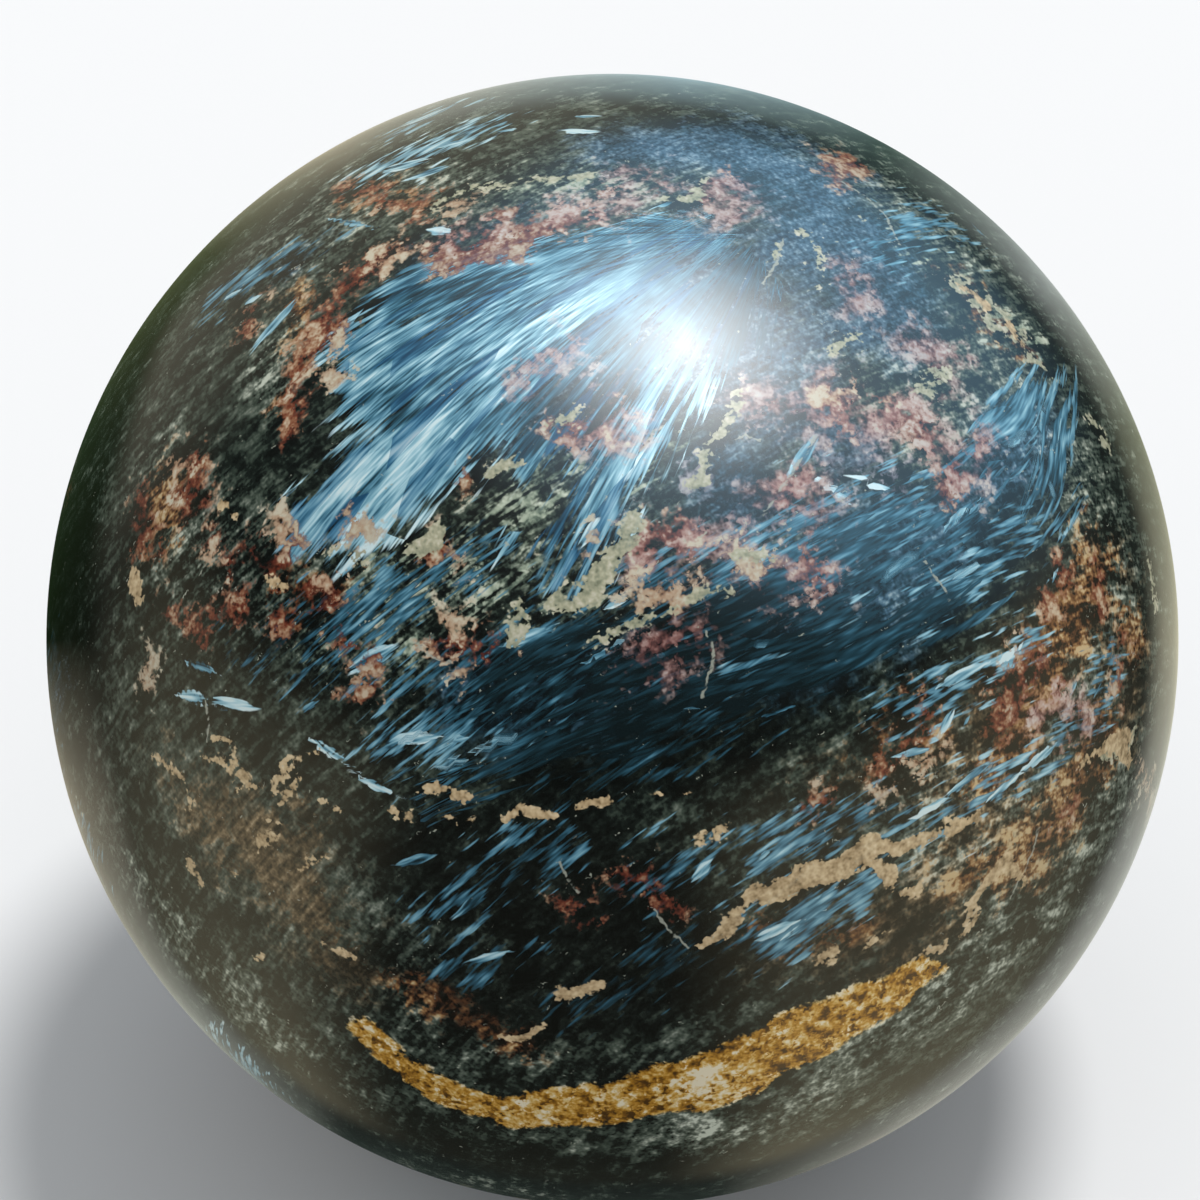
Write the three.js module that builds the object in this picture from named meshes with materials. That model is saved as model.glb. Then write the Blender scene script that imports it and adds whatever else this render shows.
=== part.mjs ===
// A polished ball of astrophyllite rock, with a small flat ground under it so that it stands still.
// Millimetres, +Z up. The origin is the middle of the flat, which is what the ball rests on.
import * as THREE from "three";

const BALL_DIAMETER = 100;
const BALL_RADIUS = BALL_DIAMETER / 2;
// The flat is a fifth of the ball across: wide enough to stop it rolling, and hidden unless seen from below.
const FLAT_DIAMETER = BALL_DIAMETER / 5;
const FLAT_RADIUS = FLAT_DIAMETER / 2;
// The flat's edge is eased, as a lap leaves it, so that it doesn't chip.
const EASED_EDGE = 0.4;

const SEGMENTS_ROUND = 96;
const RINGS_UP = 48;

const centreHeight = Math.sqrt(BALL_RADIUS ** 2 - FLAT_RADIUS ** 2);

// The ball's outline from the middle of the flat, out to its eased edge, and round to the top, as (radius, height).
function outline() {
  const points = [new THREE.Vector2(0, 0), new THREE.Vector2(FLAT_RADIUS - EASED_EDGE, 0)];
  const edgeAngle = Math.asin((FLAT_RADIUS + EASED_EDGE) / BALL_RADIUS);
  for (let ring = 0; ring < RINGS_UP; ring++) {
    const fromBottom = THREE.MathUtils.lerp(edgeAngle, Math.PI, ring / RINGS_UP);
    const radius = BALL_RADIUS * Math.sin(fromBottom);
    const height = centreHeight - BALL_RADIUS * Math.cos(fromBottom);
    points.push(new THREE.Vector2(radius, height));
  }
  points.push(new THREE.Vector2(0, centreHeight + BALL_RADIUS));
  return points;
}

function stone() {
  const geometry = new THREE.LatheGeometry(outline(), SEGMENTS_ROUND);
  // The lathe turns its outline round +Y, and the ball stands along +Z.
  geometry.rotateX(Math.PI / 2);
  const polishedRock = new THREE.MeshStandardMaterial({
    color: 0x15222c,
    roughness: 0.08,
    metalness: 0,
  });
  const mesh = new THREE.Mesh(geometry, polishedRock);
  mesh.name = "stone_ball";
  return mesh;
}

const astrophylliteBall = new THREE.Group();
astrophylliteBall.add(stone());

export default astrophylliteBall;
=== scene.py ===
# %% [markdown]
# # A polished ball of astrophyllite rock
#
# The real thing is a fist-sized ball, sawn from dark rock, ground round and polished like glass.
# Its shape is simple, so all of its character is in the pattern: blue sprays of fibres that fan
# out like brushes, red and pink grains, cream and tan minerals, and near-black rock between them.
#
# The pattern could be painted as a picture and wrapped round the ball. Here it grows from lists of
# places, the way that the rock did: every spray has a spine, a width and a brightness, and every
# mineral has places and sizes. Noise in the material then frays their edges into grains.

# %% Load the frame
import math

import bpy
import numpy as np
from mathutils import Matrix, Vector
from mathutils import noise as rock_noise


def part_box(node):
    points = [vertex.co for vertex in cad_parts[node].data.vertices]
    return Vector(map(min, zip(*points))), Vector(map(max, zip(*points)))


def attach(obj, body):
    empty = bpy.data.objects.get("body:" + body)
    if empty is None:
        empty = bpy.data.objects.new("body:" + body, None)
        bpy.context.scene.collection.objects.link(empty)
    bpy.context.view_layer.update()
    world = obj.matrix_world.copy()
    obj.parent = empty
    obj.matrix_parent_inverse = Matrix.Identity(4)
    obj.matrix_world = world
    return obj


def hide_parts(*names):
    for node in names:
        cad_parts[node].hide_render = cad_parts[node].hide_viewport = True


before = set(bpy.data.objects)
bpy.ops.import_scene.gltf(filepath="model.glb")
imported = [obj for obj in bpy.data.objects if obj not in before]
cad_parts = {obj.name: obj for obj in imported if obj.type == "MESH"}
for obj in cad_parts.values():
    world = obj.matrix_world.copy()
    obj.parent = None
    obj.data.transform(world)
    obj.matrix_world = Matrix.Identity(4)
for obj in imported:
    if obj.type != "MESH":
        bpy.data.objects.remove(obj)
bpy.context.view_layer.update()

# %% [markdown]
# ## The ball's size and the camera
#
# The radius and the centre come from the frame's own solid, so nothing has to be fitted later.
# The camera looks down at the ball through a long lens. Its distance is worked out from how large
# the ball's outline is in the photograph, and a small lens shift puts that outline in its place.

# %% The ball and the camera
ball_low, ball_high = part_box("stone_ball")
BALL_RADIUS = (ball_high.x - ball_low.x) / 2
BALL_CENTRE = Vector((0, 0, ball_high.z - BALL_RADIUS))
MM = 0.001
RADIUS_MM = BALL_RADIUS / MM

PHOTO_WIDTH_PX = 1200
OUTLINE_CENTRE_PX = (612.4, 639.9)
OUTLINE_RADIUS_PX = 566.1
CAMERA_ELEVATION = math.radians(40)
LENS_MM = 135
SENSOR_MM = 36

# How far a ray leans sideways for each pixel away from the middle of the outline.
LEAN_PER_PX = SENSOR_MM / LENS_MM / PHOTO_WIDTH_PX
camera_distance = BALL_RADIUS / math.sin(math.atan(OUTLINE_RADIUS_PX * LEAN_PER_PX))

camera_right = np.array((1, 0, 0))
camera_up = np.array((0, math.sin(CAMERA_ELEVATION), math.cos(CAMERA_ELEVATION)))
camera_back = np.array((0, -math.cos(CAMERA_ELEVATION), math.sin(CAMERA_ELEVATION)))

camera = bpy.data.objects.new("camera", bpy.data.cameras.new("camera"))
camera.data.lens = LENS_MM
camera.data.sensor_width = SENSOR_MM
camera.data.shift_x = (PHOTO_WIDTH_PX / 2 - OUTLINE_CENTRE_PX[0]) / PHOTO_WIDTH_PX
camera.data.shift_y = (OUTLINE_CENTRE_PX[1] - PHOTO_WIDTH_PX / 2) / PHOTO_WIDTH_PX
camera.location = BALL_CENTRE + Vector(camera_back) * camera_distance
camera.rotation_euler = (math.pi / 2 - CAMERA_ELEVATION, 0, 0)
bpy.context.scene.collection.objects.link(camera)
bpy.context.scene.camera = camera
print(f"ball radius {RADIUS_MM:.2f} mm, camera {camera_distance:.3f} m away")


# %% [markdown]
# ## The ball's surface
#
# A UV sphere pinches its faces together at two poles, and patterns that ride on its corners get
# pinched with them. A cube whose sides are cut into even squares, and then blown up until each
# corner is one radius from the middle, has faces of nearly one size everywhere. The tangent in the
# tree below spreads the squares so that those at a cube's corner don't come out smaller.
#
# The rule is short, so Geometry Nodes make the ball: a cube, a blow-up, and a flat ground under it
# by not letting any corner go below the surface that the ball stands on. A smooth maximum eases
# the edge of the flat, as a lap does.

# %% Helpers that add nodes to any tree
def add_node(tree, kind, inputs=None, **settings):
    """Adds a node. A value in inputs is linked if it is a socket, and set on the socket if not."""
    node = tree.nodes.new(kind)
    for name, value in settings.items():
        setattr(node, name, value)
    for name, value in (inputs or {}).items():
        socket = node.inputs[name]
        if isinstance(value, bpy.types.NodeSocket):
            tree.links.new(value, socket)
        else:
            socket.default_value = value
    return node


def vector_math(tree, operation, *values, output="Vector", **named):
    """Adds a Vector Math node and returns one of its outputs."""
    inputs = {**dict(enumerate(values)), **named}
    return add_node(tree, "ShaderNodeVectorMath", inputs, operation=operation).outputs[output]


# %% The tree that blows a cube up into the ball
CUTS_PER_SIDE = 128
EASED_EDGE = 0.4 * MM
BALL_INPUTS = (
    ("Cuts", "NodeSocketInt"), ("Radius", "NodeSocketFloat"),
    ("Centre Height", "NodeSocketFloat"), ("Eased Edge", "NodeSocketFloat"),
)


def ball_tree(material):
    tree = bpy.data.node_groups.new("ground ball", "GeometryNodeTree")
    for name, kind in BALL_INPUTS:
        tree.interface.new_socket(name, in_out="INPUT", socket_type=kind)
    tree.interface.new_socket("Geometry", in_out="OUTPUT", socket_type="NodeSocketGeometry")
    sizes = add_node(tree, "NodeGroupInput").outputs
    corners = add_node(tree, "ShaderNodeMath", {0: sizes["Cuts"], 1: 1.0}, operation="ADD").outputs[0]
    corners_each_way = {f"Vertices {axis}": corners for axis in "XYZ"}
    cube = add_node(tree, "GeometryNodeMeshCube", {"Size": (2, 2, 2), **corners_each_way}).outputs["Mesh"]
    place = add_node(tree, "GeometryNodeInputPosition").outputs[0]
    quarter_turns = vector_math(tree, "MULTIPLY", place, (math.pi / 4,) * 3)
    away = vector_math(tree, "NORMALIZE", vector_math(tree, "TANGENT", quarter_turns))
    round_place = vector_math(tree, "SCALE", away, Scale=sizes["Radius"])
    parts = add_node(tree, "ShaderNodeSeparateXYZ", {0: round_place}).outputs
    height = add_node(tree, "ShaderNodeMath", {0: parts["Z"], 1: sizes["Centre Height"]}, operation="ADD")
    above_ground = add_node(
        tree, "ShaderNodeMath", {0: height.outputs[0], 1: 0.0, 2: sizes["Eased Edge"]}, operation="SMOOTH_MAX"
    ).outputs[0]
    resting = add_node(tree, "ShaderNodeCombineXYZ", {"X": parts["X"], "Y": parts["Y"], "Z": above_ground})
    blown = add_node(tree, "GeometryNodeSetPosition", {"Geometry": cube, "Position": resting.outputs[0]})
    shaded = add_node(tree, "GeometryNodeSetShadeSmooth", {"Geometry": blown.outputs[0]})
    real = add_node(tree, "GeometryNodeRealizeInstances", {"Geometry": shaded.outputs[0]})
    dressed = add_node(tree, "GeometryNodeSetMaterial", {"Geometry": real.outputs[0], "Material": material})
    add_node(tree, "NodeGroupOutput", {"Geometry": dressed.outputs[0]})
    return tree


# %% Run the tree and keep its result as a plain mesh
polished_rock = bpy.data.materials.new("polished astrophyllite rock")


def grow(name, tree, sizes):
    """Runs a geometry tree and returns its result as an object with a plain mesh."""
    seedling = bpy.data.objects.new(name + " seedling", bpy.data.meshes.new(name + " seedling"))
    bpy.context.scene.collection.objects.link(seedling)
    grower = seedling.modifiers.new("grower", "NODES")
    grower.node_group = tree
    for socket in tree.interface.items_tree:
        if socket.in_out == "INPUT":
            grower[socket.identifier] = sizes[socket.name]
    evaluated = seedling.evaluated_get(bpy.context.evaluated_depsgraph_get())
    mesh = bpy.data.meshes.new_from_object(evaluated)
    bpy.data.objects.remove(seedling)
    mesh.name = name
    grown = bpy.data.objects.new(name, mesh)
    bpy.context.scene.collection.objects.link(grown)
    return grown


ball = grow(
    "polished_ball",
    ball_tree(polished_rock),
    {"Cuts": CUTS_PER_SIDE, "Radius": BALL_RADIUS, "Centre Height": BALL_CENTRE.z, "Eased Edge": EASED_EDGE},
)
corner_count = len(ball.data.vertices)
triangle_count = sum(len(face.vertices) - 2 for face in ball.data.polygons)
print(f"ball: {corner_count} corners, {triangle_count} triangles")

# %% [markdown]
# ## Places on the ball
#
# Everything below is placed by a direction from the ball's centre. For the side that the
# photograph shows, a direction is found from a pixel: a ray from the camera through that pixel
# meets the ball at one point. Sizes are in millimetres on the stone, so nothing stretches near the
# outline, where the ball turns away.

# %% From a pixel to a direction
def unit(vector):
    return vector / np.linalg.norm(vector, axis=-1, keepdims=True)


corner_places = np.zeros(corner_count * 3)
ball.data.vertices.foreach_get("co", corner_places)
directions = unit(corner_places.reshape(-1, 3) - np.array(BALL_CENTRE))


def at_pixel(x_px, y_px):
    """The direction, from the ball's centre, of the point that the photograph shows at a pixel."""
    lean_right = (x_px - OUTLINE_CENTRE_PX[0]) * LEAN_PER_PX
    lean_up = (OUTLINE_CENTRE_PX[1] - y_px) * LEAN_PER_PX
    ray = unit(camera_right * lean_right + camera_up * lean_up - camera_back)
    to_centre = -camera_back * camera_distance
    nearest = ray @ to_centre
    inside = nearest**2 - (camera_distance**2 - BALL_RADIUS**2)
    return unit(ray * (nearest - math.sqrt(max(inside, 0))) - to_centre)


def smooth_rows(rows, steps):
    """More rows between the given ones, on a smooth curve that passes through all of them."""
    rows = np.array(rows, float)
    padded = np.vstack([2 * rows[0] - rows[1], rows, 2 * rows[-1] - rows[-2]])
    part = np.linspace(0, 1, steps, endpoint=False)[:, None]
    stretches = []
    # A stretch runs from b to c, and the rows beside them, a and d, set how it bends.
    for a, b, c, d in zip(padded, padded[1:], padded[2:], padded[3:]):
        bend = (2 * a - 5 * b + 4 * c - d) * part**2 + (3 * b - a - 3 * c + d) * part**3
        stretches.append((2 * b + (c - a) * part + bend) / 2)
    return np.vstack([*stretches, rows[-1:]])


# %% Bend the rock's places a little
GENTLE_BEND_MM = 0.25
GENTLE_BENDS_PER_MM = 0.12
CRUMPLE_MM = 1.1
CRUMPLES_PER_MM = 0.28
BEND_DETAIL = 3
# Without a seed of its own, this noise would take one from the clock and differ in each run.
BEND_SEED = 11
rock_noise.seed_set(BEND_SEED)


def bent(amount_mm, per_mm):
    """The corners' directions, each pushed a little by smooth noise, so that what lies there wavers."""
    spots = directions * RADIUS_MM * per_mm
    push = np.array([rock_noise.turbulence_vector(spot, BEND_DETAIL, False) for spot in spots])
    return unit(directions + push * (amount_mm / RADIUS_MM))


gently_bent = bent(GENTLE_BEND_MM, GENTLE_BENDS_PER_MM)
crumpled = bent(CRUMPLE_MM, CRUMPLES_PER_MM)


def corners_near(bent_directions, spine, margin_mm):
    """The corners that lie within a margin of a spine on the ball, and a few more."""
    middle = unit(spine.mean(axis=0))
    reach = np.arccos(np.clip((spine @ middle).min(), -1, 1)) + margin_mm / RADIUS_MM
    return np.flatnonzero(bent_directions @ middle > math.cos(min(reach, math.pi)))


furthest_mm = float(np.linalg.norm(crumpled - directions, axis=1).max()) * RADIUS_MM
print(f"corners pushed by up to {furthest_mm:.2f} mm")

# %% [markdown]
# ## Sprays of fibres
#
# A spray is a bundle of needles that spreads from a root. In the rock they cross and overlap, so
# the sprays are kept in two layers. A new spray goes to the layer where fewer others lie in its
# way, and where two meet in one layer, the one that covers a corner better has that corner.
#
# Each corner of the mesh inside a spray gets four numbers: how far it is across the bundle,
# how far along it, which bundle it is, and how well it is covered. Across and along are what the
# material needs: noise that is fine across and slow along is a bundle of fibres, and it bends with
# the spine and spreads with the width by itself. Storing colours instead would blur the fibres to
# the size of the mesh's faces.

# %% Lay a spray on the ball
SPRAY_LAYERS = 2
HAIRLINES = SPRAY_LAYERS
SPRAY_STEPS = 14
THINNEST_MM = 0.2
SIDE_MARGIN_MM = 0.9
END_MARGIN_MM = 1.5
SOFT_SIDE = 0.5
NOT_COVERED = -1.5
WELL_COVERED = 1.7
# Keeps the fibres of one spray from being those of the next.
NUMBER_STEP = 7.3
spray_places = np.zeros((SPRAY_LAYERS + 1, corner_count, 4))
spray_places[:, :, 3] = NOT_COVERED
spray_tones = np.zeros((SPRAY_LAYERS + 1, corner_count))
sprays_laid = []


def lay_spray(rows, must=True, fray=0.35, layers=range(SPRAY_LAYERS)):
    """Lays a spray whose rows are (direction x, y, z, half width in mm, brightness from 0 to 1).

    fray is the share of its length over which it thins out at either end. A spray that doesn't
    have to be laid is left out where every layer is taken.
    """
    rows = smooth_rows(rows, SPRAY_STEPS)
    spine = unit(rows[:, :3])
    half = np.maximum(rows[:, 3], THINNEST_MM)
    ahead = np.gradient(spine, axis=0)
    ahead = unit(ahead - spine * np.sum(ahead * spine, axis=1, keepdims=True))
    side = np.cross(spine, ahead)
    steps_mm = np.linalg.norm(np.diff(spine, axis=0), axis=1) * RADIUS_MM
    run = np.concatenate([[0], np.cumsum(steps_mm)])
    length = run[-1]

    near = corners_near(gently_bent, spine, half.max() + SIDE_MARGIN_MM + END_MARGIN_MM)
    step = np.argmax(gently_bent[near] @ spine.T, axis=1)
    across = np.arcsin(np.clip(np.sum(gently_bent[near] * side[step], axis=1), -1, 1)) * RADIUS_MM
    along = np.arcsin(np.clip(np.sum(gently_bent[near] * ahead[step], axis=1), -1, 1)) * RADIUS_MM
    along += run[step]
    inside = np.abs(across) < half[step] + SIDE_MARGIN_MM
    inside &= (along > -END_MARGIN_MM) & (along < length + END_MARGIN_MM)
    near, step, along, across = near[inside], step[inside], along[inside], across[inside]

    share = across / half[step]
    sides = (1 - np.abs(share)) / SOFT_SIDE
    ends = np.minimum(along, length - along) / (fray * length)
    cover = np.clip(np.minimum(sides, ends), NOT_COVERED, WELL_COVERED)
    crowding = [(spray_places[layer, near, 3] > NOT_COVERED).sum() for layer in layers]
    if min(crowding) > 0 and not must:
        return
    layer = layers[int(np.argmin(crowding))]
    better = cover >= spray_places[layer, near, 3]
    near, step, along, share, cover = (a[better] for a in (near, step, along, share, cover))
    number = np.full(len(near), len(sprays_laid) * NUMBER_STEP)
    spray_places[layer, near] = np.stack([share * half.mean(), along, number, cover], axis=1)
    spray_tones[layer, near] = rows[step, 4]
    sprays_laid.append(min(crowding))


# %% The sprays that the photograph shows: chains of (x, y in pixels, half width in mm, brightness)
SPRAYS = (
    # The long dark band that crosses the ball from the lower left to the right edge.
    ((384, 778, 1.6, 0.26), (500, 716, 3.6, 0.14), (620, 662, 4.4, 0.12), (760, 612, 4.8, 0.18),
     (880, 560, 5.0, 0.24), (980, 500, 4.6, 0.3), (1050, 430, 2.8, 0.34)),
    ((430, 806, 1.4, 0.18), (540, 752, 3.2, 0.08), (660, 706, 4.0, 0.06), (780, 664, 4.2, 0.1),
     (900, 612, 4.2, 0.16), (1000, 552, 3.8, 0.26), (1070, 480, 2.6, 0.34)),
    # Curved sprays down the right edge.
    ((1070, 366, 1.2, 0.46), (1058, 430, 2.2, 0.46), (1046, 490, 2.0, 0.46), (1010, 550, 1.4, 0.46)),
    ((1040, 366, 1.4, 0.4), (1016, 408, 2.2, 0.46), (976, 444, 1.4, 0.4)),
)
# Single blades, which show as pale streaks: (x, y, x, y in pixels, half width in mm, brightness).
BLADES = (
    (802, 468, 866, 512, 0.3, 0.9), (846, 474, 910, 498, 0.3, 0.84), (182, 656, 220, 676, 0.6, 1.0),
    (170, 691, 214, 702, 0.7, 1.0), (206, 699, 262, 709, 0.5, 0.9), (212, 704, 236, 713, 0.4, 0.9),
    (306, 734, 356, 766, 0.5, 0.9), (352, 770, 402, 799, 0.45, 0.95), (350, 670, 396, 646, 0.8, 0.84),
    (390, 744, 446, 735, 0.45, 1.0), (424, 771, 482, 752, 0.4, 0.8), (470, 749, 526, 730, 0.4, 0.7),
    (564, 676, 632, 636, 0.4, 0.8), (638, 660, 690, 648, 0.4, 0.6), (648, 722, 724, 702, 0.4, 0.6),
    (752, 722, 804, 700, 0.4, 0.6), (700, 632, 790, 608, 0.5, 0.7), (740, 652, 784, 642, 0.4, 0.7),
    (392, 866, 440, 852, 0.5, 0.7), (508, 868, 552, 842, 0.4, 0.5), (552, 846, 574, 829, 0.3, 0.6),
    (446, 744, 470, 738, 0.4, 0.6), (600, 612, 640, 590, 0.5, 0.8), (500, 648, 560, 626, 0.5, 0.7),
    (596, 654, 650, 626, 0.4, 0.8), (378, 750, 420, 730, 0.4, 0.7), (938, 588, 990, 560, 0.4, 0.9),
    (986, 672, 1030, 636, 0.4, 0.95), (934, 690, 990, 660, 0.5, 0.8), (866, 592, 934, 542, 0.5, 0.6),
    (934, 542, 972, 496, 0.5, 0.6), (960, 520, 1010, 476, 0.4, 0.6), (1052, 486, 1068, 384, 0.4, 0.8),
    (1048, 500, 1058, 480, 0.4, 0.9), (1056, 540, 1072, 520, 0.4, 0.6), (1044, 590, 1058, 566, 0.4, 0.8),
    (1008, 450, 1026, 430, 0.3, 0.6), (888, 758, 936, 747, 0.4, 0.6), (936, 738, 956, 706, 0.5, 0.8),
    (960, 732, 972, 712, 0.4, 0.7), (908, 820, 952, 794, 0.35, 0.95), (940, 800, 1004, 752, 0.4, 0.7),
    (980, 808, 1026, 768, 0.35, 0.85), (1020, 772, 1060, 742, 0.4, 0.7), (800, 834, 834, 808, 0.5, 0.85),
    (808, 854, 840, 826, 0.4, 0.7), (756, 862, 774, 848, 0.4, 0.6), (754, 940, 800, 920, 0.5, 0.7),
    (778, 944, 842, 904, 0.5, 0.66), (800, 912, 850, 880, 0.4, 0.6), (1088, 708, 1106, 672, 0.4, 0.7),
    (1066, 700, 1078, 676, 0.4, 0.6), (980, 776, 1010, 752, 0.4, 0.6), (376, 172, 440, 158, 0.7, 0.95),
    (404, 180, 450, 166, 0.6, 0.9), (428, 148, 476, 138, 0.7, 0.95), (556, 130, 604, 132, 0.5, 1.0),
    (566, 116, 604, 117, 0.4, 0.8), (488, 133, 524, 130, 0.4, 0.8), (398, 128, 446, 108, 0.6, 0.8),
    (326, 218, 382, 230, 0.4, 0.7), (252, 350, 304, 292, 0.5, 0.6), (222, 300, 242, 290, 0.4, 0.7),
    (244, 304, 262, 294, 0.4, 0.7), (268, 262, 300, 250, 0.4, 0.6), (424, 230, 452, 234, 0.6, 0.9),
    (598, 560, 572, 590, 0.5, 0.5), (606, 516, 580, 548, 0.6, 0.95), (648, 440, 622, 484, 0.5, 0.8),
    (788, 482, 816, 438, 0.6, 0.5), (834, 181, 884, 208, 0.4, 0.6), (1000, 254, 962, 214, 0.5, 0.5),
    (650, 210, 690, 196, 0.4, 0.6), (512, 452, 560, 406, 0.4, 0.5), (462, 966, 512, 952, 0.4, 0.7),
    (452, 918, 492, 886, 0.5, 0.6), (690, 880, 712, 858, 0.5, 0.7), (340, 584, 362, 552, 0.4, 0.8),
    (296, 666, 322, 632, 0.4, 0.5), (318, 700, 300, 712, 0.4, 0.4),
)
BAND_FRAY = 0.4


def spray_at_pixels(*rows, **settings):
    """A spray whose rows are (x, y in pixels, half width in mm, brightness)."""
    lay_spray([(*at_pixel(x, y), half, tone) for x, y, half, tone in rows], **settings)


for rows in SPRAYS:
    spray_at_pixels(*rows, fray=BAND_FRAY)
for x0, y0, x1, y1, half, tone in BLADES:
    middle = ((x0 + x1) / 2, (y0 + y1) / 2)
    spray_at_pixels((x0, y0, half / 2, tone), (*middle, half, tone), (x1, y1, half / 2, tone))
crowded = sum(corners > 0 for corners in sprays_laid)
print(f"{len(sprays_laid)} sprays on the side that the photograph shows, {crowded} of them crowded")

# %% Hairlines: old cracks, filled with something pale
HAIRLINE_REACH_MM = 1.0
HAIRLINE_FRAY = 0.1
# The places that each line runs through: (x, y in pixels).
CRACKS = (
    ((650, 905), (664, 926), (690, 950)), ((560, 860), (568, 876), (580, 892)),
    ((820, 432), (796, 470), (764, 516)), ((925, 560), (936, 580), (950, 602)),
    ((760, 440), (744, 436), (732, 440)), ((782, 238), (776, 262), (764, 286)),
    ((700, 228), (732, 224), (768, 226)), ((940, 630), (948, 656), (944, 680)),
    ((414, 640), (430, 656), (452, 664)), ((204, 700), (208, 720), (206, 742)),
    ((660, 960), (640, 1000), (628, 1040)), ((1010, 900), (1030, 860), (1040, 826)),
    ((700, 700), (712, 660), (706, 630)), ((840, 180), (880, 210), (900, 246)),
)


def lay_hairline(path):
    rows = [(*direction, HAIRLINE_REACH_MM, 0) for direction in path]
    lay_spray(rows, must=False, fray=HAIRLINE_FRAY, layers=(HAIRLINES,))


for line in CRACKS:
    lay_hairline([at_pixel(x, y) for x, y in line])
print(f"{len(CRACKS)} hairlines on that side")

# %% [markdown]
# ## Mineral patches
#
# Each mineral is a list of round places joined into chains. A corner stores how deep inside its
# nearest chain it lies, in millimetres, and less than nothing outside. The material adds noise to
# that depth and cuts it at zero, which gives a ragged edge far finer than the mesh's faces.
#
# Not all the names are minerals. Grain is where small grains of every colour are thick, and calm is
# where the rock stays plain. Haze and glare is where pale fibres too thin to see lie under the
# polish, and round the glint and at the upper right it is also a painted glare and sky reflection.
# Lit and dim are where the rock and its fibres are brighter or darker than elsewhere; in places that
# is painted light and shade: a highlight in the gold band, a sheen on the fan, and mirrored light and
# shade near the lower and left edges. Rust tints the ground between the minerals, and so do brown and
# navy, which also paint mirrored surroundings: brown low on either side, and a blue veil at the upper
# right.

# %% Lay a patch on the ball
MINERALS = (
    "red", "pink", "peach", "cream", "gold", "bronze_and_reflection", "olive", "navy_and_glare",
    "brown_and_reflection", "grain", "calm", "haze_and_glare", "lit", "dim", "rust", "lilac",
)
FAR_OUTSIDE_MM = -8
CHAIN_STEPS = 8
mineral_depth = np.full((len(MINERALS), corner_count), FAR_OUTSIDE_MM, float)


def near_chain(rows):
    """A chain's smoothed rows, the corners near it, and how far each of those is from each row."""
    rows = np.array(rows, float)
    if len(rows) > 1:
        rows = smooth_rows(rows, CHAIN_STEPS)
    places = unit(rows[:, :3])
    near = corners_near(crumpled, places, rows[:, 3].max() - FAR_OUTSIDE_MM)
    turned_mm = np.arccos(np.clip(crumpled[near] @ places.T, -1, 1)) * RADIUS_MM
    return rows, near, turned_mm


def lay_patch(mineral, chain):
    """Lays one chain of a mineral, from rows of (direction x, y, z, radius in mm)."""
    rows, near, turned_mm = near_chain(chain)
    depth = mineral_depth[MINERALS.index(mineral)]
    depth[near] = np.maximum(depth[near], (rows[:, 3] - turned_mm).max(axis=1))


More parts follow.
